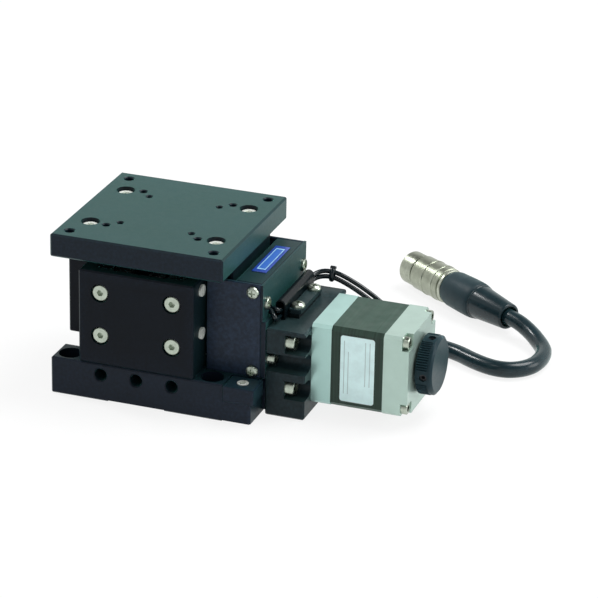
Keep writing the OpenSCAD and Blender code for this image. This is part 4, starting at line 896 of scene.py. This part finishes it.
class STAGE_OT_plug(bpy.types.Operator):
    """Round connector: plated shell with its rings, insert and contacts, barrel and boot"""
    bl_idname = "stage.plug"
    bl_label = "Connector"

    def execute(self, context):
        shell = revolve("plug_shell", [
            (31.1, 0), (31.1, 5.8), (31.35, 6.1), (32.2, 6.1), (32.4, 5.7), (32.7, 5.7), (32.95, 6.3),
            (35.3, 6.3), (35.5, 6.5), (36.3, 6.5), (36.5, 6.3), (40.7, 6.3), (40.9, 6.5), (41.5, 6.5),
            (41.7, 6.3), (46.9, 6.3), (47.2, 6.05), (47.25, 5.45), (47.75, 5.45), (47.85, 5.8),
            (48.05, 5.88), (53.45, 5.88), (53.8, 5.65), (54, 5.35), (54, 4.9), (53.8, 4.7), (48.2, 4.7),
            (48.2, 0)], PLUG_FRAME)
        seat(shell, "plug_shell", "base", "plug_nickel", 30)
        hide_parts("connector_shell")
        boot = revolve("plug_boot", [
            (0, 3.7), (0, 4.2), (0.1, 4.4), (0.25, 4.52), (0.5, 4.6), (14.6, 5.86), (14.85, 5.9),
            (14.95, 6.05), (15.1, 6.15), (15.35, 6.17), (15.5, 6.1), (15.6, 5.9), (15.6, 2.95),
            (4, 2.95), (3.4, 3.7), (0, 3.7)], PLUG_FRAME)
        seat(boot, "plug_boot", "base", "boot_rubber", 40)
        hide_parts("cable_boot")
        barrel = revolve("plug_barrel", [
            (15.62, 0), (15.62, 5.8), (15.72, 6.05), (15.95, 6.25), (16.4, 6.42), (17.4, 6.56), (18.6, 6.6),
            (21.8, 6.6), (28.7, 6.4), (30.1, 6.1), (30.8, 5.85), (31.08, 5.6), (31.08, 0)], PLUG_FRAME)
        seat(barrel, "plug_barrel", "base", "barrel_plastic", 40)
        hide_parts("connector_barrel")
        insert = revolve("plug_insert", [(48.22, 0), (48.22, 4.65), (51.8, 4.6), (52.1, 4.3), (52.1, 0)],
                         PLUG_FRAME, 64)
        seat(insert, "plug_insert", "base", "black_plastic", 30)
        for i in range(CONTACTS):
            contact_at = (PLUG_FRAME @ Matrix.Rotation(math.radians(360 / CONTACTS * i), 4, "X")
                          @ Matrix.Translation((0, CONTACT_CIRCLE * MM, 0)))
            pin = revolve(f"plug_contact_{i + 1}", [
                (52, 0), (52, 0.4), (53.3, 0.4), (53.6, 0.2), (53.6, 0)], contact_at, 16)
            seat(pin, f"plug_contact_{i + 1}", "base", "contact_gold", 30)
        return {"FINISHED"}


PIECES = (STAGE_OT_studio, STAGE_OT_finishes, STAGE_OT_cable, STAGE_OT_wires, STAGE_OT_knob,
          STAGE_OT_motor_label, STAGE_OT_plug)


class STAGE_PT_panel(bpy.types.Panel):
    """Sizes, colours and pieces of the stage"""
    bl_idname = "STAGE_PT_panel"
    bl_label = "Vertical stage"
    bl_space_type = "VIEW_3D"
    bl_region_type = "UI"
    bl_category = "Stage"

    def draw(self, context):
        for group in (context.scene.stage_sizes, context.scene.stage_look):
            box = self.layout.box()
            for prop in group.__annotations__:
                box.prop(group, prop)
        for piece in PIECES:
            self.layout.operator(piece.bl_idname)


CLASSES = (StageLook, StageSizes, *PIECES, STAGE_PT_panel)


def register():
    for cls in CLASSES:
        bpy.utils.register_class(cls)
    bpy.types.Scene.stage_look = bpy.props.PointerProperty(type=StageLook)
    bpy.types.Scene.stage_sizes = bpy.props.PointerProperty(type=StageSizes)


def unregister():
    del bpy.types.Scene.stage_look
    del bpy.types.Scene.stage_sizes
    for cls in reversed(CLASSES):
        bpy.utils.unregister_class(cls)


def main():
    register()
    bpy.ops.stage.studio()
    bpy.ops.stage.finishes()
    bpy.ops.stage.plug()
    bpy.ops.stage.cable()
    bpy.ops.stage.wires()
    bpy.ops.stage.knob()
    bpy.ops.stage.motor_label()


if __name__ == "__main__":
    main()
